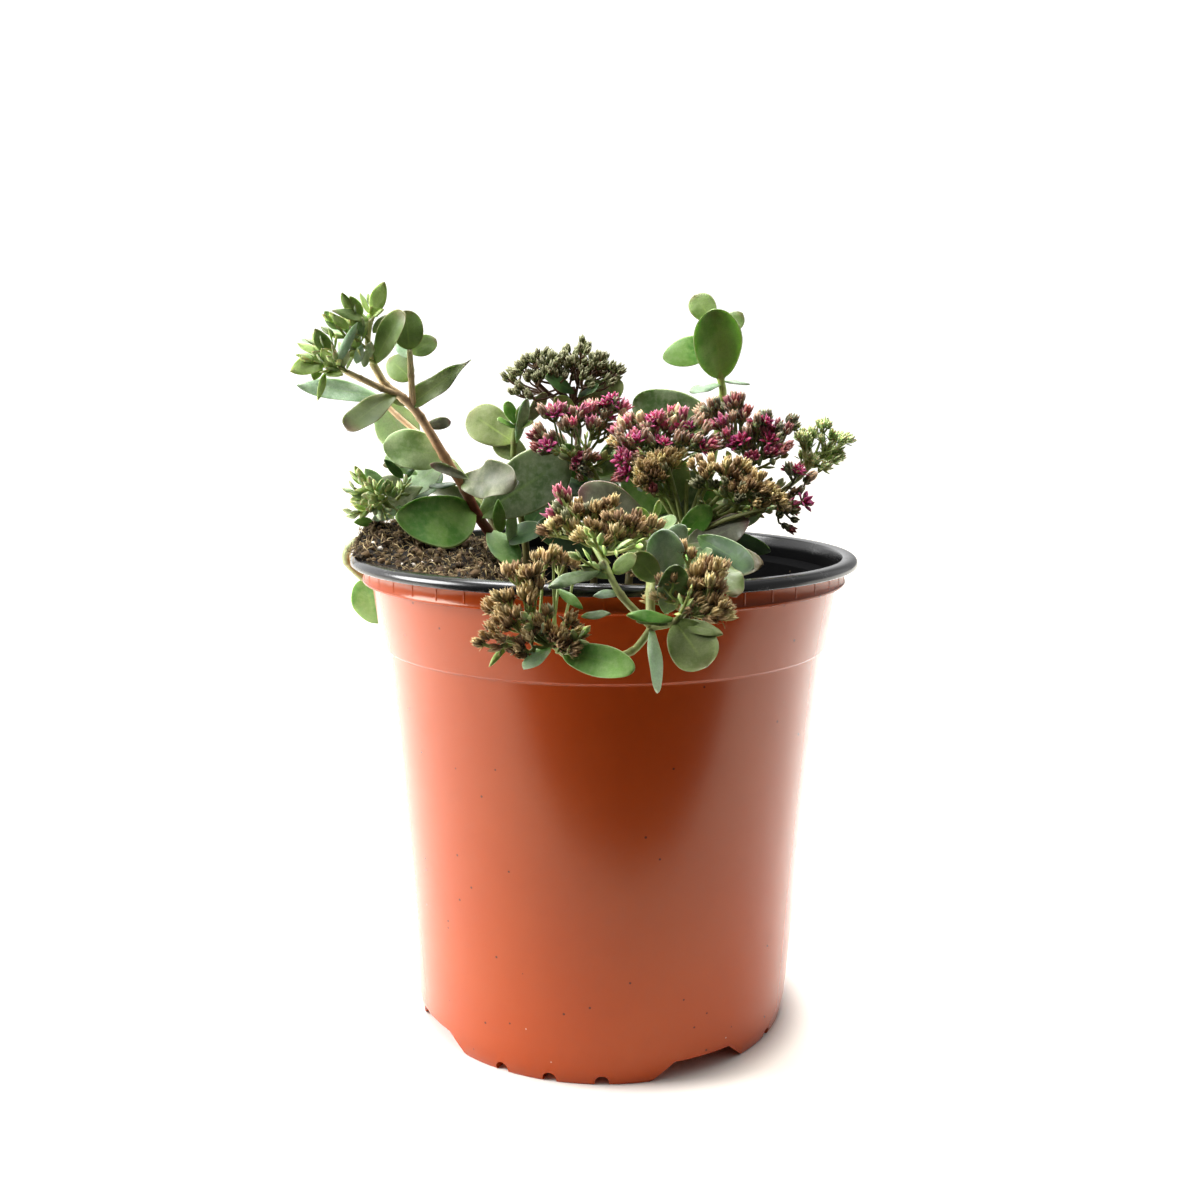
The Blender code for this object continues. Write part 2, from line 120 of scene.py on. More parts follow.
def smoothPath(points, perSpan):
    # Catmull-Rom curve through the points
    points = [Vector(p) for p in points]
    ends = [points[0] * 2 - points[1]] + points + [points[-1] * 2 - points[-2]]
    path = []
    for i in range(len(points) - 1):
        a, b, c, d = ends[i:i + 4]
        for step in range(perSpan):
            t = step / perSpan
            path.append(0.5 * ((2 * b) + (c - a) * t + (2 * a - 5 * b + 4 * c - d) * t * t
                               + (3 * b - a - 3 * c + d) * t ** 3))
    return path + [points[-1]]


# Node helpers: a source is a plain value, an output socket, or a node whose first output is meant


def treeOf(*sources):
    return next(s.id_data for s in sources if isinstance(s, (bpy.types.Node, bpy.types.NodeSocket)))


def feed(node, *sources, **byName):
    # None leaves a socket alone
    for label, source in [*enumerate(sources), *byName.items()]:
        if source is None:
            continue
        socket = node.inputs[label.replace("_", " ") if isinstance(label, str) else label]
        if isinstance(source, bpy.types.Node):
            source = source.outputs[0]
        if isinstance(source, bpy.types.NodeSocket):
            node.id_data.links.new(source, socket)
        else:
            socket.default_value = source
    return node


def addNode(tree, kind, *sources, **settings):
    node = tree.nodes.new(kind)
    for label, value in settings.items():
        setattr(node, label, value)
    return feed(node, *sources)


def math2(operation, first, second=0.0):
    return addNode(treeOf(first, second), "ShaderNodeMath", first, second, operation=operation).outputs[0]


def plus(first, second):
    return math2("ADD", first, second)


def minus(first, second):
    return math2("SUBTRACT", first, second)


def times(first, second):
    return math2("MULTIPLY", first, second)


def ramp(value, low, high):
    # smoothly from 0 at low to 1 at high
    return addNode(treeOf(value), "ShaderNodeMapRange", value, low, high, 0.0, 1.0,
                   interpolation_type="SMOOTHSTEP").outputs[0]


def mixColour(share, first, second):
    # the colours go into the seventh and eighth socket
    node = addNode(treeOf(share), "ShaderNodeMix", share, *[None] * 5, first, second, data_type="RGBA")
    return node.outputs[2]


def tinge(colour, mask, strength, other):
    return mixColour(times(mask, strength), colour, other)


def attribute(tree, label, output="Fac"):
    return addNode(tree, "ShaderNodeAttribute", attribute_name=label).outputs[output]


def objectPlace(tree):
    return addNode(tree, "ShaderNodeTexCoord").outputs["Object"]


def shaderGroup(name, inputs, *outputs):
    tree = bpy.data.node_groups.new(name, "ShaderNodeTree")
    for label, value in inputs.items():
        tree.interface.new_socket(label, in_out="INPUT", socket_type="NodeSocketFloat").default_value = value
    for label in outputs:
        kind = "Vector" if label == "Normal" else "Float"
        tree.interface.new_socket(label, in_out="OUTPUT", socket_type="NodeSocket" + kind)
    return tree, addNode(tree, "NodeGroupInput").outputs, addNode(tree, "NodeGroupOutput")


def cloudNoise(tree, scale, detail):
    return feed(addNode(tree, "ShaderNodeTexNoise"), Vector=objectPlace(tree), Scale=scale, Detail=detail)


def mottleGroup():
    # cloudy patches: 0 to 1 between two noise levels
    tree, given, end = shaderGroup("mottle", {"Scale": 300.0, "Low": 0.4, "High": 0.6}, "Mask")
    feed(end, ramp(cloudNoise(tree, given["Scale"], 4.0), given["Low"], given["High"]))
    return tree


def specksGroup():
    # small separate dots
    tree, given, end = shaderGroup("specks", {"Scale": 400.0, "Size": 0.12, "Share": 0.3}, "Mask")
    cells = feed(addNode(tree, "ShaderNodeTexVoronoi"), Vector=objectPlace(tree), Scale=given["Scale"])
    dot = math2("LESS_THAN", cells.outputs["Distance"], given["Size"])
    split = addNode(tree, "ShaderNodeSeparateColor", cells.outputs["Color"])
    feed(end, times(dot, math2("LESS_THAN", split, given["Share"])))
    return tree


def grainGroup():
    # fine relief for plastic, skin and peat
    tree, given, end = shaderGroup("grain", {"Scale": 900.0, "Strength": 0.2, "Depth": 0.0003}, "Normal")
    cloud = cloudNoise(tree, given["Scale"], 3.0)
    bump = addNode(tree, "ShaderNodeBump")
    feed(end, feed(bump, Strength=given["Strength"], Distance=given["Depth"], Height=cloud))
    return tree


def leafZoneGroup():
    # where a leaf's margin, midrib, tip and base are, from its own UV map
    tree, given, end = shaderGroup("leafZones", {"Margin Width": 0.12, "Midrib Width": 0.06},
                                   "Margin", "Midrib", "Tip", "Base")
    blade = addNode(tree, "ShaderNodeUVMap", uv_map="blade")
    along, across = addNode(tree, "ShaderNodeSeparateXYZ", blade).outputs[:2]
    side = times(math2("ABSOLUTE", minus(across, 0.5)), 2.0)
    margin = ramp(side, minus(1.0, given["Margin Width"]), 1.0)
    near = minus(1.0, ramp(side, 0.0, given["Midrib Width"]))
    midrib = times(near, minus(1.0, ramp(along, 0.3, 0.95)))
    feed(end, margin, midrib, ramp(along, 0.8, 1.0), minus(1.0, ramp(along, 0.0, 0.28)))
    return tree


shared = {"mottle": mottleGroup(), "specks": specksGroup(), "grain": grainGroup(),
          "leafZones": leafZoneGroup()}


def useGroup(tree, name, **values):
    return feed(addNode(tree, "ShaderNodeGroup", node_tree=shared[name]), **values).outputs


def mottle(tree, scale, low, high):
    return useGroup(tree, "mottle", Scale=scale, Low=low, High=high)[0]


def specks(tree, scale, size, share):
    return useGroup(tree, "specks", Scale=scale, Size=size, Share=share)[0]


def grain(tree, scale, strength, depth):
    return useGroup(tree, "grain", Scale=scale, Strength=strength, Depth=depth)[0]


def newMaterial(name, **fixed):
    material = bpy.data.materials.new(name)
    material.use_nodes = True
    tree = material.node_tree
    return material, tree, feed(tree.nodes["Principled BSDF"], **fixed)


# Materials of the pot


def terracottaFinish():
    look = {"sheet": tone(161, 62, 18), "faded": tone(165, 70, 26), "dirt": tone(62, 28, 14),
            "grit": tone(206, 176, 150), "sheen": (1.0, 0.84, 0.68, 1.0)}
    material, tree, shader = newMaterial("terracottaPlastic", Specular_IOR_Level=0.32,
                                         Specular_Tint=look["sheen"])
    smear = mottle(tree, 140.0, 0.58, 0.78)
    colour = tinge(look["sheet"], mottle(tree, 22.0, 0.35, 0.7), 0.5, look["faded"])
    colour = tinge(colour, smear, 0.04, look["dirt"])
    colour = tinge(colour, specks(tree, 250.0, 0.10, 0.15), 0.9, look["dirt"])
    colour = tinge(colour, specks(tree, 260.0, 0.07, 0.035), 0.6, look["grit"])
    relief = grain(tree, 900.0, 0.10, 0.00015)
    feed(shader, Base_Color=colour, Roughness=plus(times(smear, 0.04), 0.20), Normal=relief)
    return material


def blackFinish():
    # glossy and scuffed on the rim, dull and dark below it; the rim's heights are metres
    look = {"sheet": tone(6, 6, 7), "scuff": tone(104, 104, 104), "dust": tone(96, 84, 66),
            "rimStarts": 0.1510, "rimFull": 0.1530}
    material, tree, shader = newMaterial("blackPlastic", Specular_IOR_Level=0.06, Coat_Roughness=0.2)
    height = addNode(tree, "ShaderNodeSeparateXYZ", objectPlace(tree)).outputs[2]
    onRim = ramp(height, look["rimStarts"], look["rimFull"])
    worn = times(times(mottle(tree, 90.0, 0.56, 0.74), mottle(tree, 800.0, 0.45, 0.65)), onRim)
    colour = tinge(look["sheet"], worn, 0.6, look["scuff"])
    colour = tinge(colour, specks(tree, 420.0, 0.16, 0.05), 0.5, look["dust"])
    gloss = plus(times(worn, 0.35), minus(0.90, times(onRim, 0.64)))
    relief = grain(tree, 420.0, 0.22, 0.0003)
    feed(shader, Base_Color=colour, Roughness=gloss, Coat_Weight=onRim, Normal=relief)
    return material


# Materials of the plant: most of its colour is painted on its vertices as tone, varied per copy by tint


def paintedFinish(name, roughness, variation, relief, **fixed):
    material, tree, shader = newMaterial(name, **fixed)
    tint = attribute(tree, "tint")
    fine = mottle(tree, 1600.0, 0.3, 0.7)
    level = plus(times(mottle(tree, 420.0, 0.35, 0.65), variation), 1.25 - 0.7 * variation)
    level = plus(plus(level, times(fine, 0.5 * variation)), times(tint, 0.22))
    hue = plus(times(tint, 0.012), 0.5)
    shade = addNode(tree, "ShaderNodeHueSaturation", hue, 1.0, level, 1.0, attribute(tree, "tone", "Color"))
    feed(shader, Base_Color=shade, Roughness=plus(times(fine, 0.15), roughness), Normal=grain(tree, *relief))
    return material


leafLooks = {
    # main, second, waxy, margin, tip and base colour, then the shares of the waxy and the tip colour
    "green": ((62, 106, 32), (86, 124, 48), (124, 144, 90), (128, 142, 92), (92, 84, 54), (108, 138, 62),
        0.40, 0.15),
    "greyGreen": ((56, 78, 36), (78, 94, 58), (114, 124, 96), (128, 134, 102), (104, 92, 76), (108, 134, 66),
        0.55, 0.2),
    "sage": ((92, 116, 66), (110, 130, 84), (142, 156, 118), (146, 158, 118), (104, 92, 76), (116, 142, 80),
        0.5, 0.15),
    # painted backlight: this look's pale colours stand in for light shining through leaves that face away
    # from the lamps
    "lit": ((156, 178, 144), (170, 188, 156), (188, 200, 174), (154, 162, 136), (144, 140, 118),
        (146, 186, 112), 0.4, 0.3),
    "grey": ((90, 98, 70), (106, 110, 86), (140, 142, 120), (138, 130, 112), (112, 94, 90), (112, 128, 82),
        0.6, 0.3),
    "olive": ((66, 82, 36), (80, 94, 48), (104, 112, 76), (96, 74, 58), (96, 68, 58), (112, 132, 60), 0.3,
        0.6),
    "moss": ((84, 106, 48), (98, 118, 60), (122, 136, 90), (124, 112, 74), (108, 78, 60), (124, 150, 70),
        0.3, 0.45),
    "mint": ((118, 144, 112), (138, 158, 130), (166, 182, 160), (118, 124, 108), (116, 112, 100),
        (136, 172, 108), 0.5, 0.45),
    "pale": ((82, 96, 46), (98, 110, 62), (124, 130, 90), (118, 120, 84), (140, 126, 92), (146, 168, 84),
        0.4, 0.2),
    "fresh": ((106, 128, 58), (124, 146, 76), (148, 160, 106), (146, 146, 100), (112, 88, 52),
        (148, 172, 84), 0.35, 0.5),
    "dark": ((30, 58, 20), (44, 76, 30), (76, 94, 56), (96, 112, 70), (60, 52, 36), (76, 108, 44), 0.3, 0.2),
    "bright": ((94, 138, 50), (112, 154, 66), (132, 160, 90), (96, 100, 56), (92, 72, 48), (128, 160, 76),
        0.35, 0.4),
    "bluish": ((108, 128, 106), (124, 142, 122), (158, 170, 154), (122, 132, 116), (104, 96, 92),
        (108, 136, 92), 0.6, 0.3),
    "plum": ((80, 80, 62), (94, 96, 76), (122, 122, 102), (100, 62, 60), (90, 52, 54), (114, 134, 88), 0.45,
        0.75),
}
# the back of the painted-backlight look has a plainer green, without the painted backlight of its face
leafBacks = {"lit": (80, 104, 62)}    # looks whose back has a colour of its own


def leafFinish(look):
    *colours, waxyShare, tipShare = leafLooks[look]
    main, second, waxy, margin, tip, base = tones(*colours)
    back = tone(*leafBacks[look]) if look in leafBacks else waxy
    material, tree, shader = newMaterial("leaf" + look.capitalize(), Specular_IOR_Level=0.40,
                                         Subsurface_Weight=0.25, Subsurface_Scale=0.0015,
                                         Subsurface_Radius=(0.8, 1.0, 0.6))
    zones = useGroup(tree, "leafZones", Margin_Width=0.10, Midrib_Width=0.09)
    under = attribute(tree, "under")
    broad, small = mottle(tree, 105.0, 0.42, 0.60), mottle(tree, 620.0, 0.42, 0.68)
    colour = mixColour(broad, main, second)
    colour = tinge(colour, plus(times(small, 0.6), times(broad, 0.4)), waxyShare, waxy)
    colour = tinge(colour, under, 0.55, back)
    colour = tinge(colour, zones["Base"], 0.5, base)
    colour = tinge(colour, zones["Midrib"], 0.35, base)
    colour = tinge(colour, zones["Tip"], tipShare, tip)
    colour = tinge(colour, zones["Margin"], 0.75, margin)
    colour = tinge(colour, specks(tree, 700.0, 0.14, 0.22), 0.16, tone(60, 45, 40))
    level = plus(times(mottle(tree, 2400.0, 0.35, 0.65), 0.20), 1.36)
    level = minus(plus(level, times(attribute(tree, "tint"), 0.16)), times(under, 0.30))
    shade = addNode(tree, "ShaderNodeHueSaturation", 0.5, 1.0, level, 1.0, colour)
    relief = grain(tree, 1300.0, 0.16, 0.0002)
    feed(shader, Base_Color=shade, Roughness=plus(times(small, 0.18), 0.40), Normal=relief)
    return material


def peatFinish():
    look = {"dark": tone(8, 6, 4), "mid": tone(22, 17, 12), "pale": tone(70, 58, 42)}
    material, tree, shader = newMaterial("peat", Specular_IOR_Level=0.2)
    fine = mottle(tree, 1300.0, 0.50, 0.72)
    colour = mixColour(mottle(tree, 240.0, 0.35, 0.65), look["dark"], look["mid"])
    colour = tinge(colour, fine, 0.6, look["pale"])
    relief = grain(tree, 1100.0, 0.9, 0.0008)
    feed(shader, Base_Color=colour, Roughness=plus(times(fine, 0.1), 0.85), Normal=relief)
    return material


leafMaterials = {look: leafFinish(look) for look in leafLooks}
finishes = {
    "terracotta": terracottaFinish(),
    "black": blackFinish(),
    "peat": peatFinish(),
    "stem": paintedFinish("stemBark", 0.42, 0.30, (900.0, 0.35, 0.0003), Specular_IOR_Level=0.4),
    "pink": paintedFinish("pinkPetal", 0.48, 0.30, (1500.0, 0.25, 0.0002), Subsurface_Weight=0.15,
                          Subsurface_Scale=0.001, Sheen_Weight=0.15),
    "dried": paintedFinish("driedHusk", 0.62, 0.45, (1800.0, 0.55, 0.0003), Specular_IOR_Level=0.3),
    "bud": paintedFinish("greenBud", 0.45, 0.30, (1500.0, 0.25, 0.0002), Subsurface_Weight=0.1,
                         Subsurface_Scale=0.001),
    "crumb": paintedFinish("peatCrumb", 0.80, 0.50, (2200.0, 0.60, 0.0003), Specular_IOR_Level=0.2),
}
print("materials ready")

# Camera, light and floor

camera = {"place": (-1.2, -425.3, 206.0), "pitchDown": 8.97, "roll": 0.0046, "focalPixels": 1294.0,
          "imagePixels": 1200.0, "sensor": 36.0}


def makeCamera():
    pitch, roll = math.radians(camera["pitchDown"]), camera["roll"]
    forward = Vector((0.0, math.cos(pitch), -math.sin(pitch)))
    upright = Vector((0.0, math.sin(pitch), math.cos(pitch)))
    across = Vector((1.0, 0.0, 0.0))
    right = across * math.cos(roll) + upright * math.sin(roll)
    above = upright * math.cos(roll) - across * math.sin(roll)
    data = bpy.data.cameras.new("camera")
    data.sensor_width = camera["sensor"]
    data.lens = camera["sensor"] * camera["focalPixels"] / camera["imagePixels"]
    data.clip_start = 0.01
    view = addObject("camera", data)
    view.matrix_world = Matrix((right, above, -forward)).transposed().to_4x4()
    view.matrix_world.translation = Vector(camera["place"]) * mm
    bpy.context.scene.camera = view


studio = {"floorFront": -148.0, "floorBack": 4200.0, "floorSide": 4200.0, "leftSlant": 0.08,
          "rightSlant": 0.22, "floorColour": (0.95, 0.93, 0.88, 1.0), "floorPatches": (0.92, 0.90, 0.85, 1.0),
          "glow": 0.7, "glowColour": (1.0, 0.95, 0.84, 1.0), "glowStarts": 60.0, "glowFull": 76.0,
          "sky": 1.28, "front": 0.02, "sideBoost": 0.1, "rightShade": 0.75, "swing": 0.24, "backdrop": 1.2}
lamps = {
    "keyLeft": dict(place=(-760, -60, 480), aim=(0, 0, 120), size=0.5, power=12.0),
    "fillRight": dict(place=(780, 60, 330), aim=(0, 0, 120), size=1.4, power=1.6),
    "top": dict(place=(-60, 140, 820), aim=(0, 0, 150), size=0.6, power=11.5),
}


def makeFloor():
    # it ends a little in front of the pot, which mirrors the dark beyond as a wedge
    x, front, back = studio["floorSide"], studio["floorFront"], studio["floorBack"]
    corners = [(-x, front - x * studio["leftSlant"], 0), (0, front, 0),
               (x, front + x * studio["rightSlant"], 0), (x, back, 0), (-x, back, 0)]
    mesh = bpy.data.meshes.new("floor")
    mesh.from_pydata([Vector(c) * mm for c in corners], [], [(0, 1, 2, 3, 4)])
    material, tree, shader = newMaterial("paleFloor", Roughness=0.65, Emission_Strength=studio["glow"])
    colour = tinge(studio["floorColour"], mottle(tree, 30.0, 0.3, 0.7), 0.2, studio["floorPatches"])
    # painted light: the floor glows into the white behind it and, close to the pot, lightens the pot's shadow
    # on it; it does not glow under the pot, so the underside and the foot's arches stay dark
    away = addNode(tree, "ShaderNodeVectorMath", objectPlace(tree), operation="LENGTH").outputs["Value"]
    glowing = ramp(away, studio["glowStarts"] * mm, studio["glowFull"] * mm)
    glow = mixColour(glowing, (0.0, 0.0, 0.0, 1.0), studio["glowColour"])
    feed(shader, Base_Color=colour, Emission_Color=glow)
    addObject("floor", mesh, material)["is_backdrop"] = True


def makeLamps():
    for name, lamp in lamps.items():
        data = bpy.data.lights.new(name, "AREA")
        data.shape = "DISK"
        data.size = lamp["size"]
        data.energy = lamp["power"]
        light = addObject(name, data)
        place = Vector(lamp["place"])
        light.location = place * mm
        light.rotation_euler = (Vector(lamp["aim"]) - place).to_track_quat("-Z", "Y").to_euler()


def makeSky():
    # a white room that is dark on the side in front of the pot, plain white behind everything
    world = bpy.data.worlds.new("studioSky")
    bpy.context.scene.world = world
    world.use_nodes = True
    tree = world.node_tree
    way = addNode(tree, "ShaderNodeTexCoord").outputs["Generated"]
    x, y, z = addNode(tree, "ShaderNodeSeparateXYZ", way).outputs
    behind = ramp(minus(y, times(x, studio["swing"])), -0.10, 0.30)
    openSky = math2("MAXIMUM", behind, ramp(z, 0.45, 1.0))
    level = plus(times(openSky, studio["sky"] - studio["front"]), studio["front"])
    level = plus(level, times(ramp(math2("ABSOLUTE", x), 0.6, 1.0), studio["sideBoost"]))
    level = times(level, minus(1.0, times(ramp(x, -0.1, 0.4), studio["rightShade"])))
    seen = addNode(tree, "ShaderNodeLightPath").outputs["Is Camera Ray"]
    level = math2("MAXIMUM", level, times(seen, studio["backdrop"]))
    feed(tree.nodes["Background"], Color=(1.0, 1.0, 1.0, 1.0), Strength=level)


makeCamera()
makeFloor()
makeLamps()
makeSky()
bpy.context.scene.view_settings.view_transform = "Standard"
print("camera and studio ready")

# Geometry node trees


def geometryTree(name, **inputs):
    tree = bpy.data.node_groups.new(name, "GeometryNodeTree")
    for label, kind in {"Geometry": "Geometry", **inputs}.items():
        tree.interface.new_socket(label, in_out="INPUT", socket_type="NodeSocket" + kind)
    tree.interface.new_socket("Geometry", in_out="OUTPUT", socket_type="NodeSocketGeometry")
    return tree, addNode(tree, "NodeGroupInput").outputs, addNode(tree, "NodeGroupOutput")


def named(tree, label, kind="FLOAT"):
    return addNode(tree, "GeometryNodeInputNamedAttribute", label, data_type=kind).outputs[0]


def randomValue(tree, low, high, seed):
    return addNode(tree, "FunctionNodeRandomValue", None, None, low, high, *[None] * 4, seed,
                   data_type="FLOAT").outputs[1]


def closeTree(geometry, material, end):
    whole = addNode(geometry.id_data, "GeometryNodeRealizeInstances", geometry)
    feed(end, addNode(geometry.id_data, "GeometryNodeSetMaterial", whole, None, material))
    return geometry.id_data


def pointsTree():
    # one shape on each given point, with the point's own aim, spin, size and kind
    tree, given, end = geometryTree("shapesOnPoints", Shapes="Collection", Size="Float", Finish="Material")
    shapes = addNode(tree, "GeometryNodeCollectionInfo", given["Shapes"], True, True)
    aimed = addNode(tree, "FunctionNodeAlignRotationToVector", None, None, named(tree, "aim", "FLOAT_VECTOR"),
                    axis="Z")
    spin = addNode(tree, "FunctionNodeAxisAngleToRotation", (0.0, 0.0, 1.0), named(tree, "spin"))
    turned = addNode(tree, "FunctionNodeRotateRotation", aimed, spin, rotation_space="LOCAL")
    size = times(named(tree, "size"), given["Size"])
    placed = addNode(tree, "GeometryNodeInstanceOnPoints", given["Geometry"], None, shapes, True,
                     named(tree, "kind", "INT"), turned, size)
    return closeTree(placed, given["Finish"], end)


def surfaceTree():
    # shapes strewn over a surface, thicker where its cover is higher
    tree, given, end = geometryTree("shapesOnSurface", Shapes="Collection", Density="Float", Seed="Int",
                                    Smallest="Float", Largest="Float", Tilt="Float", Finish="Material")
    shapes = addNode(tree, "GeometryNodeCollectionInfo", given["Shapes"], True, True)
    strewn = feed(addNode(tree, "GeometryNodeDistributePointsOnFaces"), Mesh=given["Geometry"],
                  Density=times(named(tree, "cover"), given["Density"]), Seed=given["Seed"])
    tiltDown = times(given["Tilt"], -1.0)
    tilts = [randomValue(tree, tiltDown, given["Tilt"], seed) for seed in (11, 12)]
    turn = addNode(tree, "ShaderNodeCombineXYZ", *tilts, randomValue(tree, 0.0, math.tau, 13))
    turned = addNode(tree, "FunctionNodeRotateRotation", strewn.outputs["Rotation"],
                     addNode(tree, "FunctionNodeEulerToRotation", turn), rotation_space="LOCAL")
    size = randomValue(tree, given["Smallest"], given["Largest"], 14)
    pick = addNode(tree, "FunctionNodeRandomValue", *[None] * 4, 0, 100, None, None, 15, data_type="INT")
    placed = addNode(tree, "GeometryNodeInstanceOnPoints", strewn, None, shapes, True, pick.outputs[2],
                     turned, size)
    tinted = addNode(tree, "GeometryNodeStoreNamedAttribute", placed, None, "tint",
                     randomValue(tree, -1.0, 1.0, 16), data_type="FLOAT", domain="INSTANCE")
    return closeTree(tinted, given["Finish"], end)


def branchTree():
    # round stalks along the edges of a mesh, as thick as its points say
    tree, given, end = geometryTree("stalksOnEdges", Sides="Int", Finish="Material")
    curve = addNode(tree, "GeometryNodeMeshToCurve", given["Geometry"])
    ring = feed(addNode(tree, "GeometryNodeCurvePrimitiveCircle", given["Sides"], mode="RADIUS"), Radius=1.0)
    tube = addNode(tree, "GeometryNodeCurveToMesh", curve, ring, named(tree, "thickness"), True)
    return closeTree(tube, given["Finish"], end)


def ringTree():
    # one shape repeated round the pot, facing outwards
    tree, given, end = geometryTree("shapesRoundPot", Shape="Object", Count="Int", Radius="Float",
                                    Height="Float", Finish="Material")
    circle = addNode(tree, "GeometryNodeMeshCircle", given["Count"], given["Radius"])
    outward = addNode(tree, "FunctionNodeAlignRotationToVector", None, None,
                      addNode(tree, "GeometryNodeInputPosition"), axis="X", pivot_axis="Z")
    shape = addNode(tree, "GeometryNodeObjectInfo", given["Shape"], True).outputs["Geometry"]
    placed = addNode(tree, "GeometryNodeInstanceOnPoints", circle, None, shape, None, None, outward)
    lift = addNode(tree, "ShaderNodeCombineXYZ", 0.0, 0.0, given["Height"])
    moved = addNode(tree, "GeometryNodeSetPosition", placed, None, None, lift)
    return closeTree(moved, given["Finish"], end)


trees = {"points": pointsTree(), "surface": surfaceTree(), "branch": branchTree(), "ring": ringTree()}


def evaluatedMesh(source):
    depsgraph = bpy.context.evaluated_depsgraph_get()
    depsgraph.update()
    return bpy.data.meshes.new_from_object(source.evaluated_get(depsgraph))


def runTree(source, tree, name, **values):
    # evaluates a tree on the source object and returns its result as a plain mesh object
    modifier = source.modifiers.new("build", "NODES")
    modifier.node_group = trees[tree]
    for item in trees[tree].interface.items_tree:
        if item.in_out == "INPUT" and item.name in values:
            modifier[item.identifier] = values[item.name]
    mesh = evaluatedMesh(source)
    mesh.name = name
    bpy.data.objects.remove(source)
    return addObject(name, mesh)


def shapeSet(name, meshes):
    # shapes that are only copied from, kept out of the scene
    collection = bpy.data.collections.new(name)
    for index, mesh in enumerate(meshes):
        collection.objects.link(bpy.data.objects.new(f"{name}{index:02d}", mesh))
    return collection


print("node trees ready")

# Pot

pot = {"rimTop": 155.7, "rimRadius": 82.5, "rimUnder": 152.4, "collarRadius": 78.4, "collarFoot": 147.2,
       "stepHeight": 126.4, "stepRadius": 73.1, "wall": 1.1, "floorTop": 8.0, "floorUnder": 7.0,
       "wallFootRadius": 63.0, "footRadius": 61.5, "footWidth": 4.0, "padRadius": 14.0, "padThickness": 1.0,
       "facets": 224, "ribCount": 48, "ribDepth": 0.2, "firstArch": 30.0, "archHeight": 6.0,
       "archFootWidth": 34.0, "archTopWidth": 20.0, "notches": (-15.0, 0.0, 15.0), "notchWidth": 4.4,
       "notchHeight": 3.0, "drainRing": 40.0, "drainWidth": 9.0, "sharpAngle": 38}


def potInside():
    # from the middle of the floor up to the rim
    floor, step, under, top = pot["floorTop"], pot["stepHeight"], pot["collarFoot"], pot["rimTop"]
    pad, thin, wall, collar = pot["padRadius"], pot["padThickness"], pot["wall"], pot["collarRadius"]
    foot, stepIn, collarIn = pot["wallFootRadius"] - wall, pot["stepRadius"] - wall, collar - wall
    return [(0.0, thin), (pad - 1.0, thin), (pad + 1.0, floor), (foot - 1.5, floor), (foot, floor + 1.5),
            (stepIn - 1.0, step - 1.0), (stepIn, step + 0.2), (collarIn - 2.4, under - 1.0),
            (collarIn, under + 1.0), (collar - 1.0, top - 1.2), (collar - 0.7, top - 0.4)]


def rimRoll():
    # over the nearly flat top of the rim, down its narrow outer face and back under it
    top, under, radius, collar = pot["rimTop"], pot["rimUnder"], pot["rimRadius"], pot["collarRadius"]
    return [(collar, top), (radius - 2.1, top - 0.05), (radius - 1.2, top - 0.3), (radius - 0.5, top - 0.8),
            (radius - 0.1, top - 1.5), (radius, top - 2.2), (radius - 0.1, under + 0.4),
            (radius - 0.5, under + 0.1), (radius - 1.0, under), (collar + 1.0, under)]


def potOutside():
    # down the collar, step and wall to the foot ring, and back to the middle of the pad
    rim, lip, high, floor = pot["rimUnder"], pot["collarFoot"], pot["stepHeight"], pot["floorTop"]
    collar, step, wall = pot["collarRadius"], pot["stepRadius"], pot["wallFootRadius"]
    foot, under, pad = pot["footRadius"], pot["floorUnder"], pot["padRadius"]
    heel = foot - pot["footWidth"]
    return [(collar + 0.3, rim - 0.1), (collar, rim - 0.5), (collar, lip + 1.1), (collar + 0.35, lip + 0.6),
            (collar + 0.3, lip + 0.1), (collar - 0.5, lip - 0.3), (collar - 2.4, lip - 0.6),
            (collar - 2.7, lip - 1.2), (step + 0.1, high + 0.4), (step - 0.2, high - 0.1),
            (step - 0.9, high - 0.4), (step - 1.2, high - 1.0), (wall + 0.35, floor + 4.2),
            (wall - 0.15, floor + 0.8), (wall - 0.15, floor - 0.6), (foot + 0.1, 0.8), (foot - 0.4, 0.0),
            (heel + 0.4, 0.0), (heel, 0.5), (heel - 0.8, under), (pad + 2.0, under), (pad, 0.0), (0.0, 0.0)]


def turnedMesh(name, profile, facets):
    mesh = bpy.data.meshes.new(name)
    points = [(r * mm, 0.0, z * mm) for r, z in profile]
    mesh.from_pydata(points, [(i, i + 1) for i in range(len(points) - 1)], [])
    obj = addObject(name, mesh)
    turn = obj.modifiers.new("turn", "SCREW")
    turn.axis = "Z"
    turn.steps = turn.render_steps = facets
    turn.use_merge_vertices = True
    turn.merge_threshold = 0.00001
    turn.use_normal_calculate = False
    return obj


def barrel(name, width, length, alongX):
    bm = bmesh.new()
    radius = width / 2 * mm
    bmesh.ops.create_cone(bm, cap_ends=True, segments=24, radius1=radius, radius2=radius, depth=length * mm)
    if alongX:
        bmesh.ops.rotate(bm, verts=bm.verts, matrix=Matrix.Rotation(math.pi / 2, 3, "Y"))
    return addObject(name, meshFrom(bm, name))


def archBlock(name):
    # wider at its foot, and reaching past the foot ring on all other sides
    below, through = -1.7, 14.0
    bm = bmesh.new()
    bmesh.ops.create_cube(bm, size=1.0)
    spread = (pot["archFootWidth"] - pot["archTopWidth"]) / pot["archHeight"]
    for vert in bm.verts:
        height = pot["archHeight"] if vert.co.z > 0 else below
        width = pot["archFootWidth"] - spread * height
        vert.co = Vector((vert.co.x * through, vert.co.y * width, height)) * mm
    return addObject(name, meshFrom(bm, name))


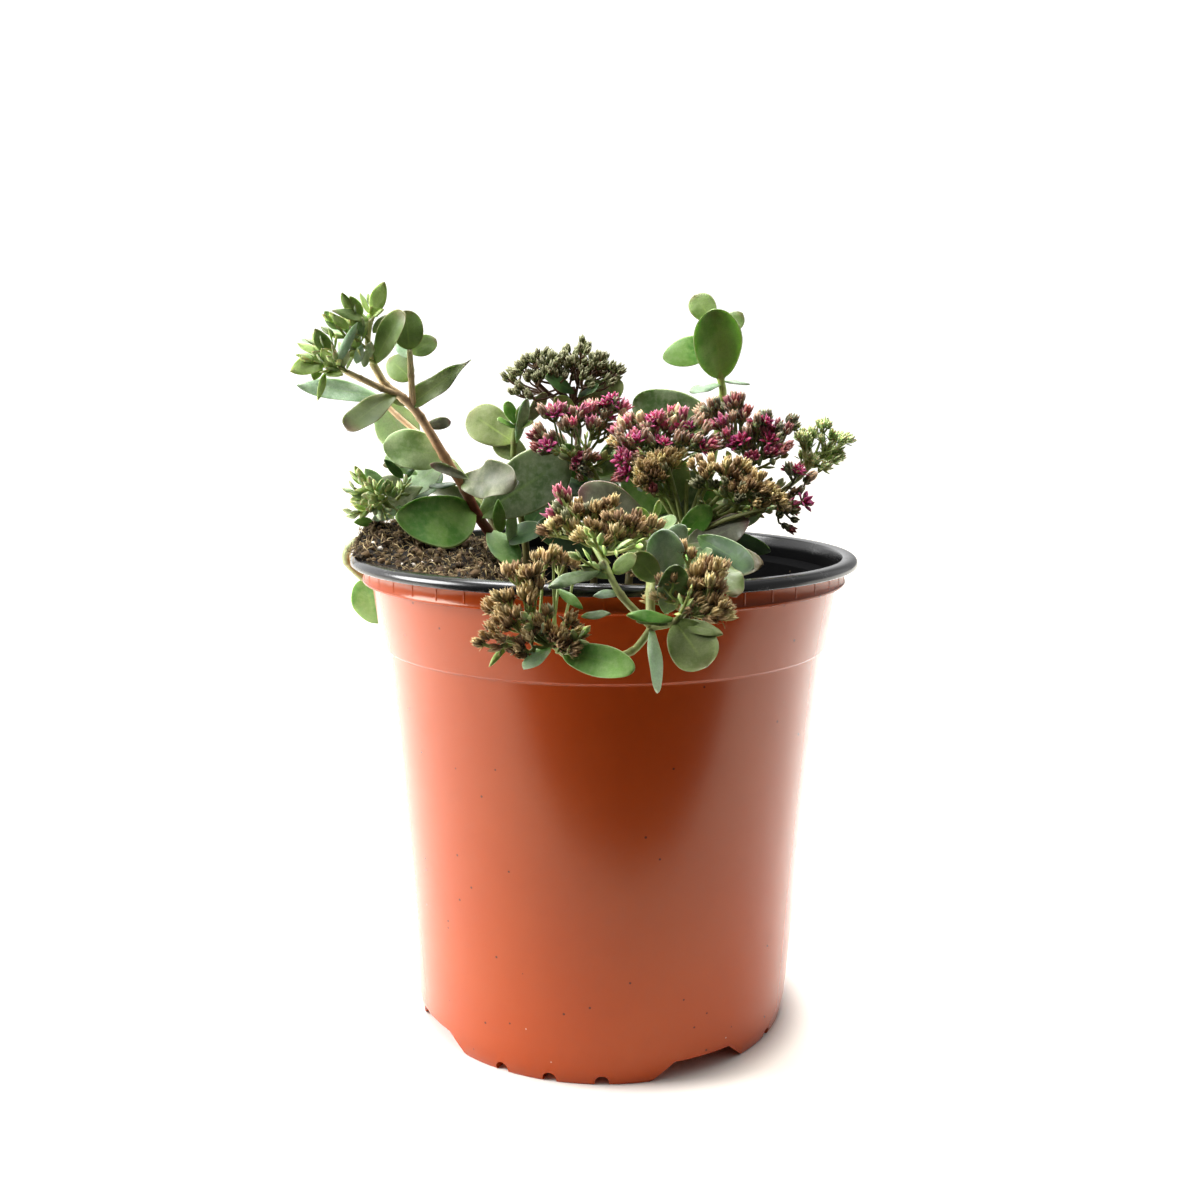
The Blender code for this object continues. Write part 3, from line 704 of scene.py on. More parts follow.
def makePot():
    body = turnedMesh("potSheet", potInside() + rimRoll() + potOutside(), pot["facets"])
    middle = pot["footRadius"] - pot["footWidth"] / 2
    cutters = []

    def stand(cutter, degrees, radius, height):
        turn = Matrix.Rotation(math.radians(degrees), 4, "Z")
        cutter.matrix_world = turn @ Matrix.Translation((radius * mm, 0.0, height * mm))
        cutters.append(cutter)
        cut = body.modifiers.new("cut", "BOOLEAN")
        cut.solver = "EXACT"
        cut.object = cutter

    for quarter in range(4):
        angle = pot["firstArch"] + 90.0 * quarter
        stand(archBlock("arch"), angle, middle, 0.0)
        stand(barrel("drain", pot["drainWidth"], 6.0, False), angle, pot["drainRing"], pot["floorTop"])
        for offset in pot["notches"]:
            low = pot["notchHeight"] - pot["notchWidth"] / 2
            stand(barrel("notch", pot["notchWidth"], 14.0, True), angle + 45.0 + offset, middle, low)
    mesh = evaluatedMesh(body)
    for obj in cutters + [body]:
        bpy.data.objects.remove(obj)
    mesh.materials.clear()
    mesh.materials.append(finishes["terracotta"])
    mesh.materials.append(finishes["black"])
    for face in mesh.polygons:
        x, y, z = face.center / mm
        facing = face.normal.x * x + face.normal.y * y
        inside = facing < 0.0 or (face.normal.z > 0.9 and math.hypot(x, y) < pot["wallFootRadius"])
        isBlack = z > pot["rimUnder"] - 0.08 or (z > pot["floorUnder"] + 0.5 and inside)
        face.material_index = 1 if isBlack else 0
    mesh.shade_smooth()
    mesh.set_sharp_from_angle(angle=math.radians(pot["sharpAngle"]))
    piece = addObject("potSheet", mesh)
    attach(piece, "root")
    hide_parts("pot")


def makeCollarRibs():
    # low upright ribs between the rim's lip and the collar's foot, narrower on their outer side
    bm = bmesh.new()
    bmesh.ops.create_cube(bm, size=1.0)
    low, high = pot["collarFoot"] + 0.9, pot["rimUnder"] - 0.2
    for vert in bm.verts:
        width = 0.24 if vert.co.x > 0 else 1.2
        vert.co = Vector((vert.co.x * pot["ribDepth"], vert.co.y * width, vert.co.z * (high - low))) * mm
    rib = bpy.data.objects.new("ribShape", meshFrom(bm, "ribShape"))
    anchor = addObject("ribs", bpy.data.meshes.new("ribs"))
    ribs = runTree(anchor, "ring", "collarRibs", Shape=rib, Count=pot["ribCount"],
                   Radius=pot["collarRadius"] * mm, Height=(low + high) / 2 * mm,
                   Finish=finishes["terracotta"])
    ribs.data.shade_flat()
    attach(ribs, "root")


makePot()
makeCollarRibs()
print("pot ready")

# Soil

soil = {"low": 130.0, "bank": 22.0, "bankStarts": -12.0, "bankEnds": -42.0, "mound": 12.6,
        "moundCentre": (-73.0, 3.0), "moundSpread": (27.0, 36.0), "moundEdge": (76.0, 86.0), "edgeLoss": 0.5,
        "rings": 60, "spokes": 168, "gap": 0.3, "spill": 4.4, "roughness": 3.3, "reach": 75.0,
        "lumpScale": 0.21, "fineScale": 0.9, "fineShare": 0.45, "sunk": 0.6}


def soilHeight(x, y):
    bank = soil["bank"] * smoothStep(soil["bankStarts"], soil["bankEnds"], x)
    fromX = (x - soil["moundCentre"][0]) / soil["moundSpread"][0]
    fromY = (y - soil["moundCentre"][1]) / soil["moundSpread"][1]
    edge = 1.0 - soil["edgeLoss"] * smoothStep(*soil["moundEdge"], math.hypot(x, y))
    return soil["low"] + bank + soil["mound"] * math.exp(-fromX ** 2 - fromY ** 2) * edge


def potInsideRadius(height):
    wall = potInside()[4:]
    for (r0, z0), (r1, z1) in zip(wall, wall[1:]):
        if height <= z1:
            return r0 + (r1 - r0) * (height - z0) / (z1 - z0)
    return wall[-1][0]


def makeSoil():
    bm = bmesh.new()
    spokes = soil["spokes"]
    rows = []
    for ring in range(1, soil["rings"] + 1):
        row = []
        for spoke in range(spokes):
            angle = math.tau * spoke / spokes
            share = ring / soil["rings"]
            reach = soil["reach"] * share
            height = soilHeight(reach * math.cos(angle), reach * math.sin(angle))
            over = smoothStep(pot["rimTop"] + 0.3, pot["rimTop"] + 3.0, height)
            reach = potInsideRadius(height) - soil["gap"] + soil["spill"] * over
            height += (pot["rimTop"] + 1.3 - height) * over * smoothStep(0.935, 1.0, share) ** 1.5
            x, y = share * reach * math.cos(angle), share * reach * math.sin(angle)
            lumps = noise.fractal(Vector((x, y, 3.0)) * soil["lumpScale"], 0.8, 2.2, 4)
            fine = noise.noise(Vector((x, y, 9.0)) * soil["fineScale"])
            damped = 1.0 - (0.5 + 0.3 * over) * smoothStep(0.9, 1.0, share)
            height += soil["roughness"] * (lumps + soil["fineShare"] * fine) * damped - soil["sunk"]
            row.append(bm.verts.new(Vector((x, y, height)) * mm))
        rows.append(row)
    brim = [vert.co.z / mm for vert in rows[-1]]
    foot, step = pot["collarFoot"], pot["stepHeight"]
    bottom = pot["floorTop"] + soil["gap"] + 1.5
    sides = (pot["rimTop"] + 0.2, foot + 0.9, foot - 1.2, step + 0.1, step - 1.2, bottom)
    for number, height in enumerate(sides, 1):
        row = []
        for s in range(spokes):
            lower = min(height, brim[s] - 0.3 * number)
            reach = potInsideRadius(lower) - soil["gap"]
            angle = math.tau * s / spokes
            row.append(bm.verts.new(Vector((reach * math.cos(angle), reach * math.sin(angle), lower)) * mm))
        rows.append(row)
    top = bm.verts.new(up(soil["low"] - soil["sunk"]) * mm)
    for s in range(spokes):
        nextS = (s + 1) % spokes
        bm.faces.new((top, rows[0][s], rows[0][nextS]))
        for inner, outer in zip(rows, rows[1:]):
            bm.faces.new((inner[s], outer[s], outer[nextS], inner[nextS]))
    bm.faces.new(reversed(rows[-1]))
    bmesh.ops.recalc_face_normals(bm, faces=bm.faces)
    mesh = meshFrom(bm, "soilBed")
    cover = mesh.attributes.new("cover", "FLOAT", "POINT")
    for vert in mesh.vertices:
        x, y, z = vert.co / mm
        shown = 0.30 + 0.70 * smoothStep(8.0, -18.0, x)
        inward = 1.0 - smoothStep(0.93, 0.96, math.hypot(x, y) / potInsideRadius(z))
        inward = max(inward, smoothStep(pot["rimTop"], pot["rimTop"] + 1.0, z))
        cover.data[vert.index].value = shown * inward if z > soil["low"] - 3.0 else 0.0
    return mesh


fibre = {"dark": (40, 30, 19), "pale": (204, 182, 136), "dirt": (40, 30, 20), "thickness": 0.16,
         "stride": 1.03}


def fibreShape(seed):
    # a thin curled strand lying along X
    rng = random.Random(seed)
    bm = bmesh.new()
    layer = bm.verts.layers.float_color.new("tone")
    strand = mixed(tone(*fibre["dark"]), tone(*fibre["pale"]), rng.random() ** 1.2)
    heading, lift, place = rng.uniform(-0.5, 0.5), rng.uniform(0.1, 0.5), Vector((0.0, 0.0, 0.0))
    bend, sag = rng.uniform(-0.65, 0.65), rng.uniform(-0.56, 0.16)
    rings = []
    for step in range(4):
        way = Vector((math.cos(heading) * math.cos(lift), math.sin(heading) * math.cos(lift), math.sin(lift)))
        across = way.cross(up(1.0)).normalized()
        over = across.cross(way)
        half = fibre["thickness"] * (1.0 - 0.6 * abs(step - 1.5) / 1.5)
        ring = [bm.verts.new((place + across * half * math.cos(a) + over * half * math.sin(a)) * mm)
                for a in (0.5, 2.6, 4.7)]
        for vert in ring:
            vert[layer] = mixed(strand, tone(*fibre["dirt"]), rng.uniform(0.0, 0.3))
        rings.append(ring)
        place = place + way * fibre["stride"]
        heading += bend
        lift += sag
    joinRings(bm, rings)
    bm.faces.new(reversed(rings[0]))
    bm.faces.new(rings[-1])
    bmesh.ops.recalc_face_normals(bm, faces=bm.faces)
    return meshFrom(bm, "fibre")


def crumbShape(seed, first, second, squash=0.7):
    rng = random.Random(seed)
    bm = bmesh.new()
    bmesh.ops.create_icosphere(bm, subdivisions=1, radius=1.0)
    layer = bm.verts.layers.float_color.new("tone")
    shift = Vector((rng.random(), rng.random(), rng.random())) * 20.0
    body = mixed(first, second, rng.random())
    for vert in bm.verts:
        vert.co *= 1.0 + 0.45 * noise.noise(vert.co * 1.4 + shift)
        vert.co.z *= squash
        vert[layer] = mixed(body, second, rng.uniform(0.0, 0.5))
        vert.co *= mm
    return meshFrom(bm, "crumb")


def makeSoilPieces():
    bed = makeSoil()
    fibres = shapeSet("fibre", [fibreShape(seed) for seed in range(9)])
    crumbs = shapeSet("crumb", [crumbShape(seed, tone(9, 7, 5), tone(96, 78, 54)) for seed in range(6)])
    grains = shapeSet("grain", [crumbShape(seed, tone(236, 232, 222), tone(206, 196, 178), 0.85)
                                for seed in range(4)])
    # shapes, number to a square metre, seed, smallest and largest size, tilt either way
    strewn = {"soilFibres": (fibres, 560000.0, 5, 0.4, 1.25, 1.1),
              "soilCrumbs": (crumbs, 330000.0, 6, 0.35, 1.1, 0.5),
              "soilClods": (crumbs, 60000.0, 8, 0.9, 2.0, 0.6),
              "soilGrains": (grains, 7000.0, 7, 0.5, 1.15, 0.5)}
    for name, (shapes, density, seed, low, high, tilt) in strewn.items():
        source = addObject(name + "Source", bed.copy())
        piece = runTree(source, "surface", name, Shapes=shapes, Density=density, Seed=seed, Smallest=low,
                        Largest=high, Tilt=tilt, Finish=finishes["crumb"])
        finishPiece(piece, "peat_soil")
        print(name, len(piece.data.polygons), "faces")
    finishPiece(addObject("soilBed", bed, finishes["peat"]), "peat_soil", "soil")


makeSoilPieces()
print("soil ready")

# Stems: a rooted shoot starts from its place in the soil, a side shoot from its first point

stems = {
    "stem_left": {
        "main": ((-34, 12), [(-34, 12, 152), (-37, 10, 158), (-42, 6, 166), (-46, 3, 175), (-52, -2, 186),
                             (-59, -7, 199), (-64, -10, 205), (-69, -12, 209), (-73, -13, 216)], 2.0, 1.2),
        "side": (None, [(-61, -8.5, 202), (-61, -12, 212), (-61, -14, 220)], 1.1, 0.9),
        "top": (None, [(-72.5, -13, 215), (-74, -14, 222), (-73, -14, 229)], 1.0, 0.8),
        "out": (None, [(-65, -10.5, 206), (-70, -14, 208), (-76, -18, 211), (-80, -20, 213)], 1.1, 0.9),
        "behind": (None, [(-54, -3.5, 189.5), (-60, 8, 192), (-69, 11, 199), (-75, 12, 205)], 1.1, 0.8),
    },
    "stem_left_low": {"main": ((-66, 2), [(-67, 1, 166), (-70, -1, 169), (-73, -3, 173)], 1.3, 1.1)},
    "stem_over_left_rim": {
        "main": ((-68, 16), [(-71, 16, 158.5), (-77, 15, 157.6), (-83, 15, 157.2), (-87.5, 16, 154),
                             (-88.6, 18, 149), (-83.5, 22, 142.5)], 1.4, 1.4),
    },
    "stem_dark_head": {
        "main": ((-14, 34), [(-14, 34, 155), (-11, 32, 177), (-9, 28, 194), (-11, 26, 209)], 1.4, 1.0),
        "side": (None, [(-9.5, 29, 191), (-15, 26, 202), (-24, 25, 211)], 1.0, 0.8),
    },
    "stem_pink_left": {
        "main": ((-4, 8), [(-3, 5, 152), (-1, 2, 172), (-4, 0, 182), (-9, -2, 190)], 1.3, 1.0),
    },
    "stem_pink_right": {
        "main": ((20, -4), [(22, -9, 148), (24, -12, 162), (21, -12, 176), (17, -12, 189)], 1.6, 1.1),
        "right": (None, [(23.5, -11, 158), (36, -9, 168), (45, -6, 179), (48, -5, 190)], 1.2, 1.0),
        "front": (None, [(34, -9.5, 166.5), (40, -18, 170), (43, -23, 175)], 1.0, 0.8),
        "far": (None, [(37, -8.5, 169), (52, -4, 172), (64, 0, 180), (71, 2, 188)], 1.0, 0.8),
    },
    "stem_upright": {
        "main": ((30, 24), [(31, 28, 154), (37, 26, 181), (40, 19, 204), (39, 16, 212), (37, 16, 223),
                            (36, 17, 231)], 1.6, 1.0),
    },
    "stem_short_centre": {
        "main": ((-26, 30), [(-28, 28, 158), (-31, 24, 176), (-31, 22, 190), (-30, 20, 197)], 1.4, 1.0),
    },
    "stem_over_front_rim": {
        "main": ((19, -18), [(20, -32, 153), (16, -54, 160), (13, -78, 160), (12, -90, 155),
                             (12, -97, 146)], 1.5, 1.2),
        "up": (None, [(12, -96.5, 147.2), (4.2, -97.5, 155.5), (0, -94, 163), (-4, -86, 169)], 1.05, 0.8),
        "down": (None, [(12, -96.5, 146.5), (7, -98, 141), (-1, -98, 139), (-10, -98, 140),
                        (-17, -97, 147)], 1.0, 0.8),
        "right": (None, [(12, -96.5, 147), (18, -99, 149), (23, -96, 154)], 1.0, 0.8),
    },
    "stem_back_right": {
        "main": ((8, 30), [(10, 34, 150), (14, 42, 166), (18, 52, 180), (20, 60, 192)], 1.5, 1.0),
    },
    "stem_back_left": {"main": ((-36, 38), [(-40, 42, 160), (-48, 48, 172), (-56, 54, 182)], 1.4, 1.0)},
}
stemLooks = {
    # colour at a height in mm, low to high
    "stem_left": ((150, (58, 22, 18)), (170, (100, 48, 36)), (184, (174, 132, 98)), (204, (200, 170, 132)),
                  (222, (182, 182, 128))),
    "stem_over_left_rim": ((140, (146, 158, 106)), (160, (152, 162, 118))),
    "stem_dark_head": ((150, (78, 76, 40)), (195, (84, 62, 44)), (212, (70, 46, 34))),
    "stem_upright": ((150, (88, 110, 48)), (200, (156, 180, 96)), (230, (144, 170, 84))),
    "stem_over_front_rim": ((138, (142, 152, 86)), (150, (156, 160, 104)), (170, (116, 134, 66))),
    "plain": ((150, (84, 78, 44)), (175, (100, 112, 54)), (200, (98, 112, 56))),
}


stemMesh = {"perSpan": 8, "sides": 12, "knuckle": 0.16, "ends": 0.75, "ringColour": (110, 84, 58),
            "ringShare": 0.35}


def colourAtHeight(stops, height):
    if height <= stops[0][0]:
        return tone(*stops[0][1])
    for (low, first), (high, second) in zip(stops, stops[1:]):
        if height <= high:
            return mixed(tone(*first), tone(*second), (height - low) / (high - low))
    return tone(*stops[-1][1])


def shootPoints(stem, shoot):
    root, points = stems[stem][shoot][:2]
    return list(points) if root is None else [(*root, soilHeight(*root) - 7.0)] + list(points)


def pointOnShoot(stem, shoot, at):
    points = shootPoints(stem, shoot)
    low = min(int(at), len(points) - 2)
    return Vector(points[low]).lerp(Vector(points[low + 1]), at - low)


def sweepTube(bm, path, radii, sides, paint):
    # a closed tube along a path; paint gives a colour for a place along it
    layer = bm.verts.layers.float_color["tone"]
    rings = []
    side = Vector((1.0, 0.0, 0.0))
    for i, place in enumerate(path):
        way = (path[min(i + 1, len(path) - 1)] - path[max(i - 1, 0)]).normalized()
        side = (side - way * side.dot(way)).normalized()
        other = way.cross(side)
        ring = []
        for k in range(sides):
            angle = math.tau * k / sides
            swell = 1.0 + 0.07 * noise.noise(place * 0.35 + Vector((math.cos(angle), math.sin(angle), 0.0)))
            offset = (side * math.cos(angle) + other * math.sin(angle)) * radii[i] * swell
            vert = bm.verts.new((place + offset) * mm)
            vert[layer] = paint(place, i)
            ring.append(vert)
        rings.append(ring)
    joinRings(bm, rings)
    bm.faces.new(reversed(rings[0]))
    bm.faces.new(rings[-1])


def knuckle(i):
    # 1 at each given point of a shoot, where leaves grow, and 0 between them
    return max(0.0, math.cos(i / stemMesh["perSpan"] * math.tau)) ** 8


def makeStems():
    for stem, shoots in stems.items():
        bm = bmesh.new()
        bm.verts.layers.float_color.new("tone")
        stops = stemLooks.get(stem, stemLooks["plain"])

        def paint(place, i):
            plain = colourAtHeight(stops, place.z)
            return mixed(plain, tone(*stemMesh["ringColour"]), stemMesh["ringShare"] * knuckle(i))

        for shoot, (_, _, low, high) in shoots.items():
            path = smoothPath(shootPoints(stem, shoot), stemMesh["perSpan"])
            last = len(path) - 1
            radii = []
            for i in range(last + 1):
                taper = low + (high - low) * i / last
                end = stemMesh["ends"] if i in (0, last) else 1.0
                radii.append(taper * (1.0 + stemMesh["knuckle"] * knuckle(i)) * end)
            sweepTube(bm, path, radii, stemMesh["sides"], paint)
        finishPiece(addObject(stem + "_tube", meshFrom(bm, stem), finishes["stem"]), "stem", stem)


makeStems()
print("stems ready")

# Leaves

leafDefaults = {"widen": 0.75, "blunt": 0.5, "cup": 0.14, "droop": 0.0, "fold": 0.0, "wave": 0.02,
                "twist": 0.0, "thickness": 1.6, "lopsided": 0.0}
leaves = {
    # stem, shoot, place along it, tip, width, the way the upper side faces, look, and what differs from the
    # plain leaf
    "leaf_left_large": ("stem_left", "main", 3.25, (-66, -14, 168), 18.5, (0.1, -0.93, 0.35), "green",
        dict(droop=0.03, widen=0.66, blunt=0.60, cup=0.26, lopsided=0.42, thickness=1.9)),
    "leaf_left_round": ("stem_left", "main", 5.0, (-72, 0, 190.5), 13.0, (0, -1, 0.2), "sage",
        dict(widen=0.5, wave=0.03)),
    "leaf_left_grey": ("stem_left", "main", 4.2, (-29, -13, 180), 12.5, (0.1, -0.95, 0.35), "grey",
        dict(droop=0.06, wave=0.06, cup=0.24, twist=0.3)),
    "leaf_left_broad": ("stem_left", "main", 3.0, (-12, 1, 185.5), 20, (-0.1, -0.95, 0.3), "greyGreen",
        dict(widen=0.8, blunt=0.45, cup=0.12)),
    "leaf_left_hanging": ("stem_left", "main", 2.4, (-29, 0, 151), 10, (0.5, -0.8, 0.1), "green",
        dict(droop=0.08, cup=0.25)),
    "leaf_left_oblong": ("stem_left", "main", 7.4, (-79.5, -23, 196), 9.4, (-0.2, -0.9, 0.4), "olive",
        dict(droop=0.05, widen=0.6, blunt=0.32, cup=0.2)),
    "leaf_left_curled": ("stem_left", "main", 6.6, (-42, -6, 216), 8.4, (0, -0.8, 0.6), "olive",
        dict(droop=-0.10, widen=0.55, blunt=1.2, cup=0.3, wave=0.03)),
    "leaf_left_folded": ("stem_left", "main", 8.9, (-61.5, -21, 231), 8.5, (-0.3, -0.9, 0.2), "moss",
        dict(cup=0.35, widen=0.7, blunt=0.4)),
    "leaf_left_upper": ("stem_left", "side", 2.0, (-62, -13, 232), 10, (0, -1, 0.1), "moss",
        dict(widen=0.5, cup=0.2)),
    "leaf_left_long": ("stem_left", "behind", 3.0, (-101, 5, 209.5), 7.5, (0, -0.85, 0.4), "mint",
        dict(droop=0.05, widen=0.7, cup=0.25, blunt=0.7)),
    # this leaf's look has painted backlight in its colour
    "leaf_left_behind": ("stem_left", "behind", 2.9, (-67, 19, 188.5), 15, (-0.2, -1, 0.5), "lit"),
    "leaf_over_left_rim": ("stem_over_left_rim", "main", 6.0, (-80, 26, 126), 14, (-0.3, -1, 0.1), "green",
        dict(widen=0.5)),
    "leaf_left_low": ("stem_left_low", "main", 1.6, (-55, 13, 180), 8, (0, -0.8, 0.6), "dark"),
    "leaf_upright_front": ("stem_upright", "main", 4.0, (35, 6, 234), 16.5, (0, -1, 0.45), "bright",
        dict(widen=0.6, blunt=0.45, cup=0.22, fold=0.10)),
    "leaf_upright_top": ("stem_upright", "main", 6.0, (30, 21, 239.5), 9, (0, -1, 0.1), "moss",
        dict(widen=0.6)),
    "leaf_upright_left": ("stem_upright", "main", 5.0, (20, 26, 219), 10, (0, -1, 0.05), "green",
        dict(widen=0.6, blunt=0.65)),
    "leaf_upright_right": ("stem_upright", "main", 5.2, (47, 27, 234), 7, (0.3, -0.8, 0.5), "moss"),
    "leaf_upright_low": ("stem_upright", "main", 2.7, (10, 33, 203.5), 15, (0, -1, 0.15), "greyGreen",
        dict(widen=0.7)),
    "leaf_centre_pale": ("stem_short_centre", "main", 3.0, (-47, 30, 200), 14, (0, -1, 0.2), "pale"),
    "leaf_centre_dark": ("stem_pink_left", "main", 2.2, (-17, 9, 180), 12, (0, -0.8, 0.6), "dark"),
    "leaf_front_green": ("stem_over_front_rim", "down", 3.1, (7.5, -107, 138), 8.6, (0, -0.9, 0.4), "green",
        dict(widen=0.5, blunt=0.45, cup=0.2)),
    # this leaf's look has painted backlight in its colour
    "leaf_front_hanging": ("stem_over_front_rim", "main", 4.8, (13.5, -106.5, 132.0), 3.8, (0.3, -1, 0),
        "lit", dict(blunt=0.6, cup=0.3)),
    "leaf_front_round": ("stem_over_front_rim", "right", 1.0, (26, -105, 138.5), 12.6, (0, -1, 0.2), "pale",
        dict(widen=0.6, blunt=0.4, wave=0.05)),
    "leaf_front_pale": ("stem_over_front_rim", "up", 1.9, (-14, -108, 159), 4, (0, -0.8, 0.6), "greyGreen",
        dict(blunt=0.6)),
    "leaf_right_long": ("stem_pink_right", "main", 1.6, (45, -46, 157), 10.5, (0.1, -1, 0.1), "olive",
        dict(droop=0.05, blunt=0.5)),
    "leaf_right_low": ("stem_pink_right", "right", 0.5, (55, -4, 156), 7.5, (0, -0.95, 0.3), "dark",
        dict(droop=0.04, blunt=0.7)),
    "leaf_back_right_1": ("stem_back_right", "main", 2.0, (42, 60, 174), 13, (0.2, 0.4, 0.9), "greyGreen",
        dict(droop=0.10)),
    "leaf_back_right_2": ("stem_back_right", "main", 2.6, (-8, 62, 178), 13, (-0.2, 0.6, 0.8), "green",
        dict(droop=0.10)),
    "leaf_back_right_3": ("stem_back_right", "main", 3.2, (38, 74, 190), 11, (0.2, 0.6, 0.8), "olive",
        dict(droop=0.05)),
    "leaf_back_left_1": ("stem_back_left", "main", 1.4, (-68, 34, 178), 12, (-0.4, 0.2, 0.9), "greyGreen",
        dict(droop=0.08)),
    "leaf_back_left_2": ("stem_back_left", "main", 1.8, (-38, 72, 174), 12, (0, 0.6, 0.8), "green",
        dict(droop=0.10)),
    "leaf_back_left_3": ("stem_back_left", "main", 3.0, (-68, 66, 192), 10, (-0.2, 0.6, 0.8), "mint"),
}
leafMesh = {"sections": 22, "ring": 20, "creaseDepth": 0.30, "creaseWidth": 0.13}


def leafOutline(share, widen, blunt):
    # half width along the leaf: widen sets how the base spreads, blunt how round the tip is
    fullest = widen / (widen + blunt)
    low, high = max(share, 1e-4) / fullest, (1.0 - min(share, 0.9999)) / (1.0 - fullest)
    return max(low ** widen * high ** blunt, 0.16 * (1.0 - share))


def addLeaf(bm, base, tip, width, facing, style, seed):
    # a thick closed blade with a rounded margin; its UV map runs along it and across it
    look = {**leafDefaults, **style}
    rng = random.Random(seed)
    uvLayer = bm.loops.layers.uv.verify()
    under = bm.verts.layers.float["under"]
    tint = bm.verts.layers.float["tint"]
    base, tip = Vector(base), Vector(tip)
    along = (tip - base).normalized()
    normal = Vector(facing)
    normal = (normal - along * normal.dot(along)).normalized()
    across = normal.cross(along)
    length = (tip - base).length
    count, around = leafMesh["sections"], leafMesh["ring"]
    phase, ripple, own = rng.uniform(0, math.tau), rng.uniform(1.1, 1.9), rng.uniform(-1.0, 1.0)
    rows, marks = [], {}
    for i in range(count + 1):
        share = 0.5 - 0.5 * math.cos(math.pi * i / count)
        half = width / 2 * leafOutline(share, look["widen"], look["blunt"])
        thick = look["thickness"] / 2 * (0.35 + 0.65 * math.sin(math.pi * min(share, 0.97)) ** 0.5)
        thick = min(thick, 0.25 + half * 0.45)
        twist = look["twist"] * (share - 0.3)
        row = []
        for k in range(around):
            angle = math.tau * k / around
            s, rise = math.cos(angle), math.sin(angle)
            lift = look["cup"] * half * s * s + look["fold"] * half * abs(s)
            swing = phase + share * ripple * math.tau + (1.2 if s > 0 else 0)
            lift += look["wave"] * length * math.sin(swing) * s * s
            lift -= look["droop"] * length * share * share
            crease = leafMesh["creaseDepth"] * math.exp(-(s / leafMesh["creaseWidth"]) ** 2) * (1.0 - share)
            crease = crease if rise > 0 else -crease
            lift += thick * rise * (0.55 + 0.45 * (1.0 - s * s)) - crease * min(1.0, half / 4.0)
            lift += s * half * math.tan(twist) * 0.8
            aside = across * s * half * (1 + look["lopsided"] * s)
            vert = bm.verts.new((base + along * share * length + aside + normal * lift) * mm)
            vert[under] = 1.0 if rise < -0.05 else 0.0
            vert[tint] = own
            marks[vert] = (share, (s + 1.0) / 2.0)
            row.append(vert)
        rows.append(row)
    faces = []
    for first, second in zip(rows, rows[1:]):
        for k in range(around):
            after = (k + 1) % around
            faces.append(bm.faces.new((first[k], second[k], second[after], first[after])))
    faces.append(bm.faces.new(rows[0]))
    faces.append(bm.faces.new(reversed(rows[-1])))
    bmesh.ops.recalc_face_normals(bm, faces=faces)
    for face in faces:
        for loop in face.loops:
            loop[uvLayer].uv = marks[loop.vert]


def startLeaves():
    bm = bmesh.new()
    bm.loops.layers.uv.new("blade")
    bm.verts.layers.float.new("under")
    bm.verts.layers.float.new("tint")
    return bm


def makeLeaves():
    for number, (name, (stem, shoot, at, tip, width, facing, look, *style)) in enumerate(leaves.items()):
        bm = startLeaves()
        addLeaf(bm, pointOnShoot(stem, shoot, at), tip, width, facing, dict(*style), number)
        finishPiece(addObject(name + "_blade", meshFrom(bm, name), leafMaterials[look]), "leaf", name)


makeLeaves()
print("leaves ready")

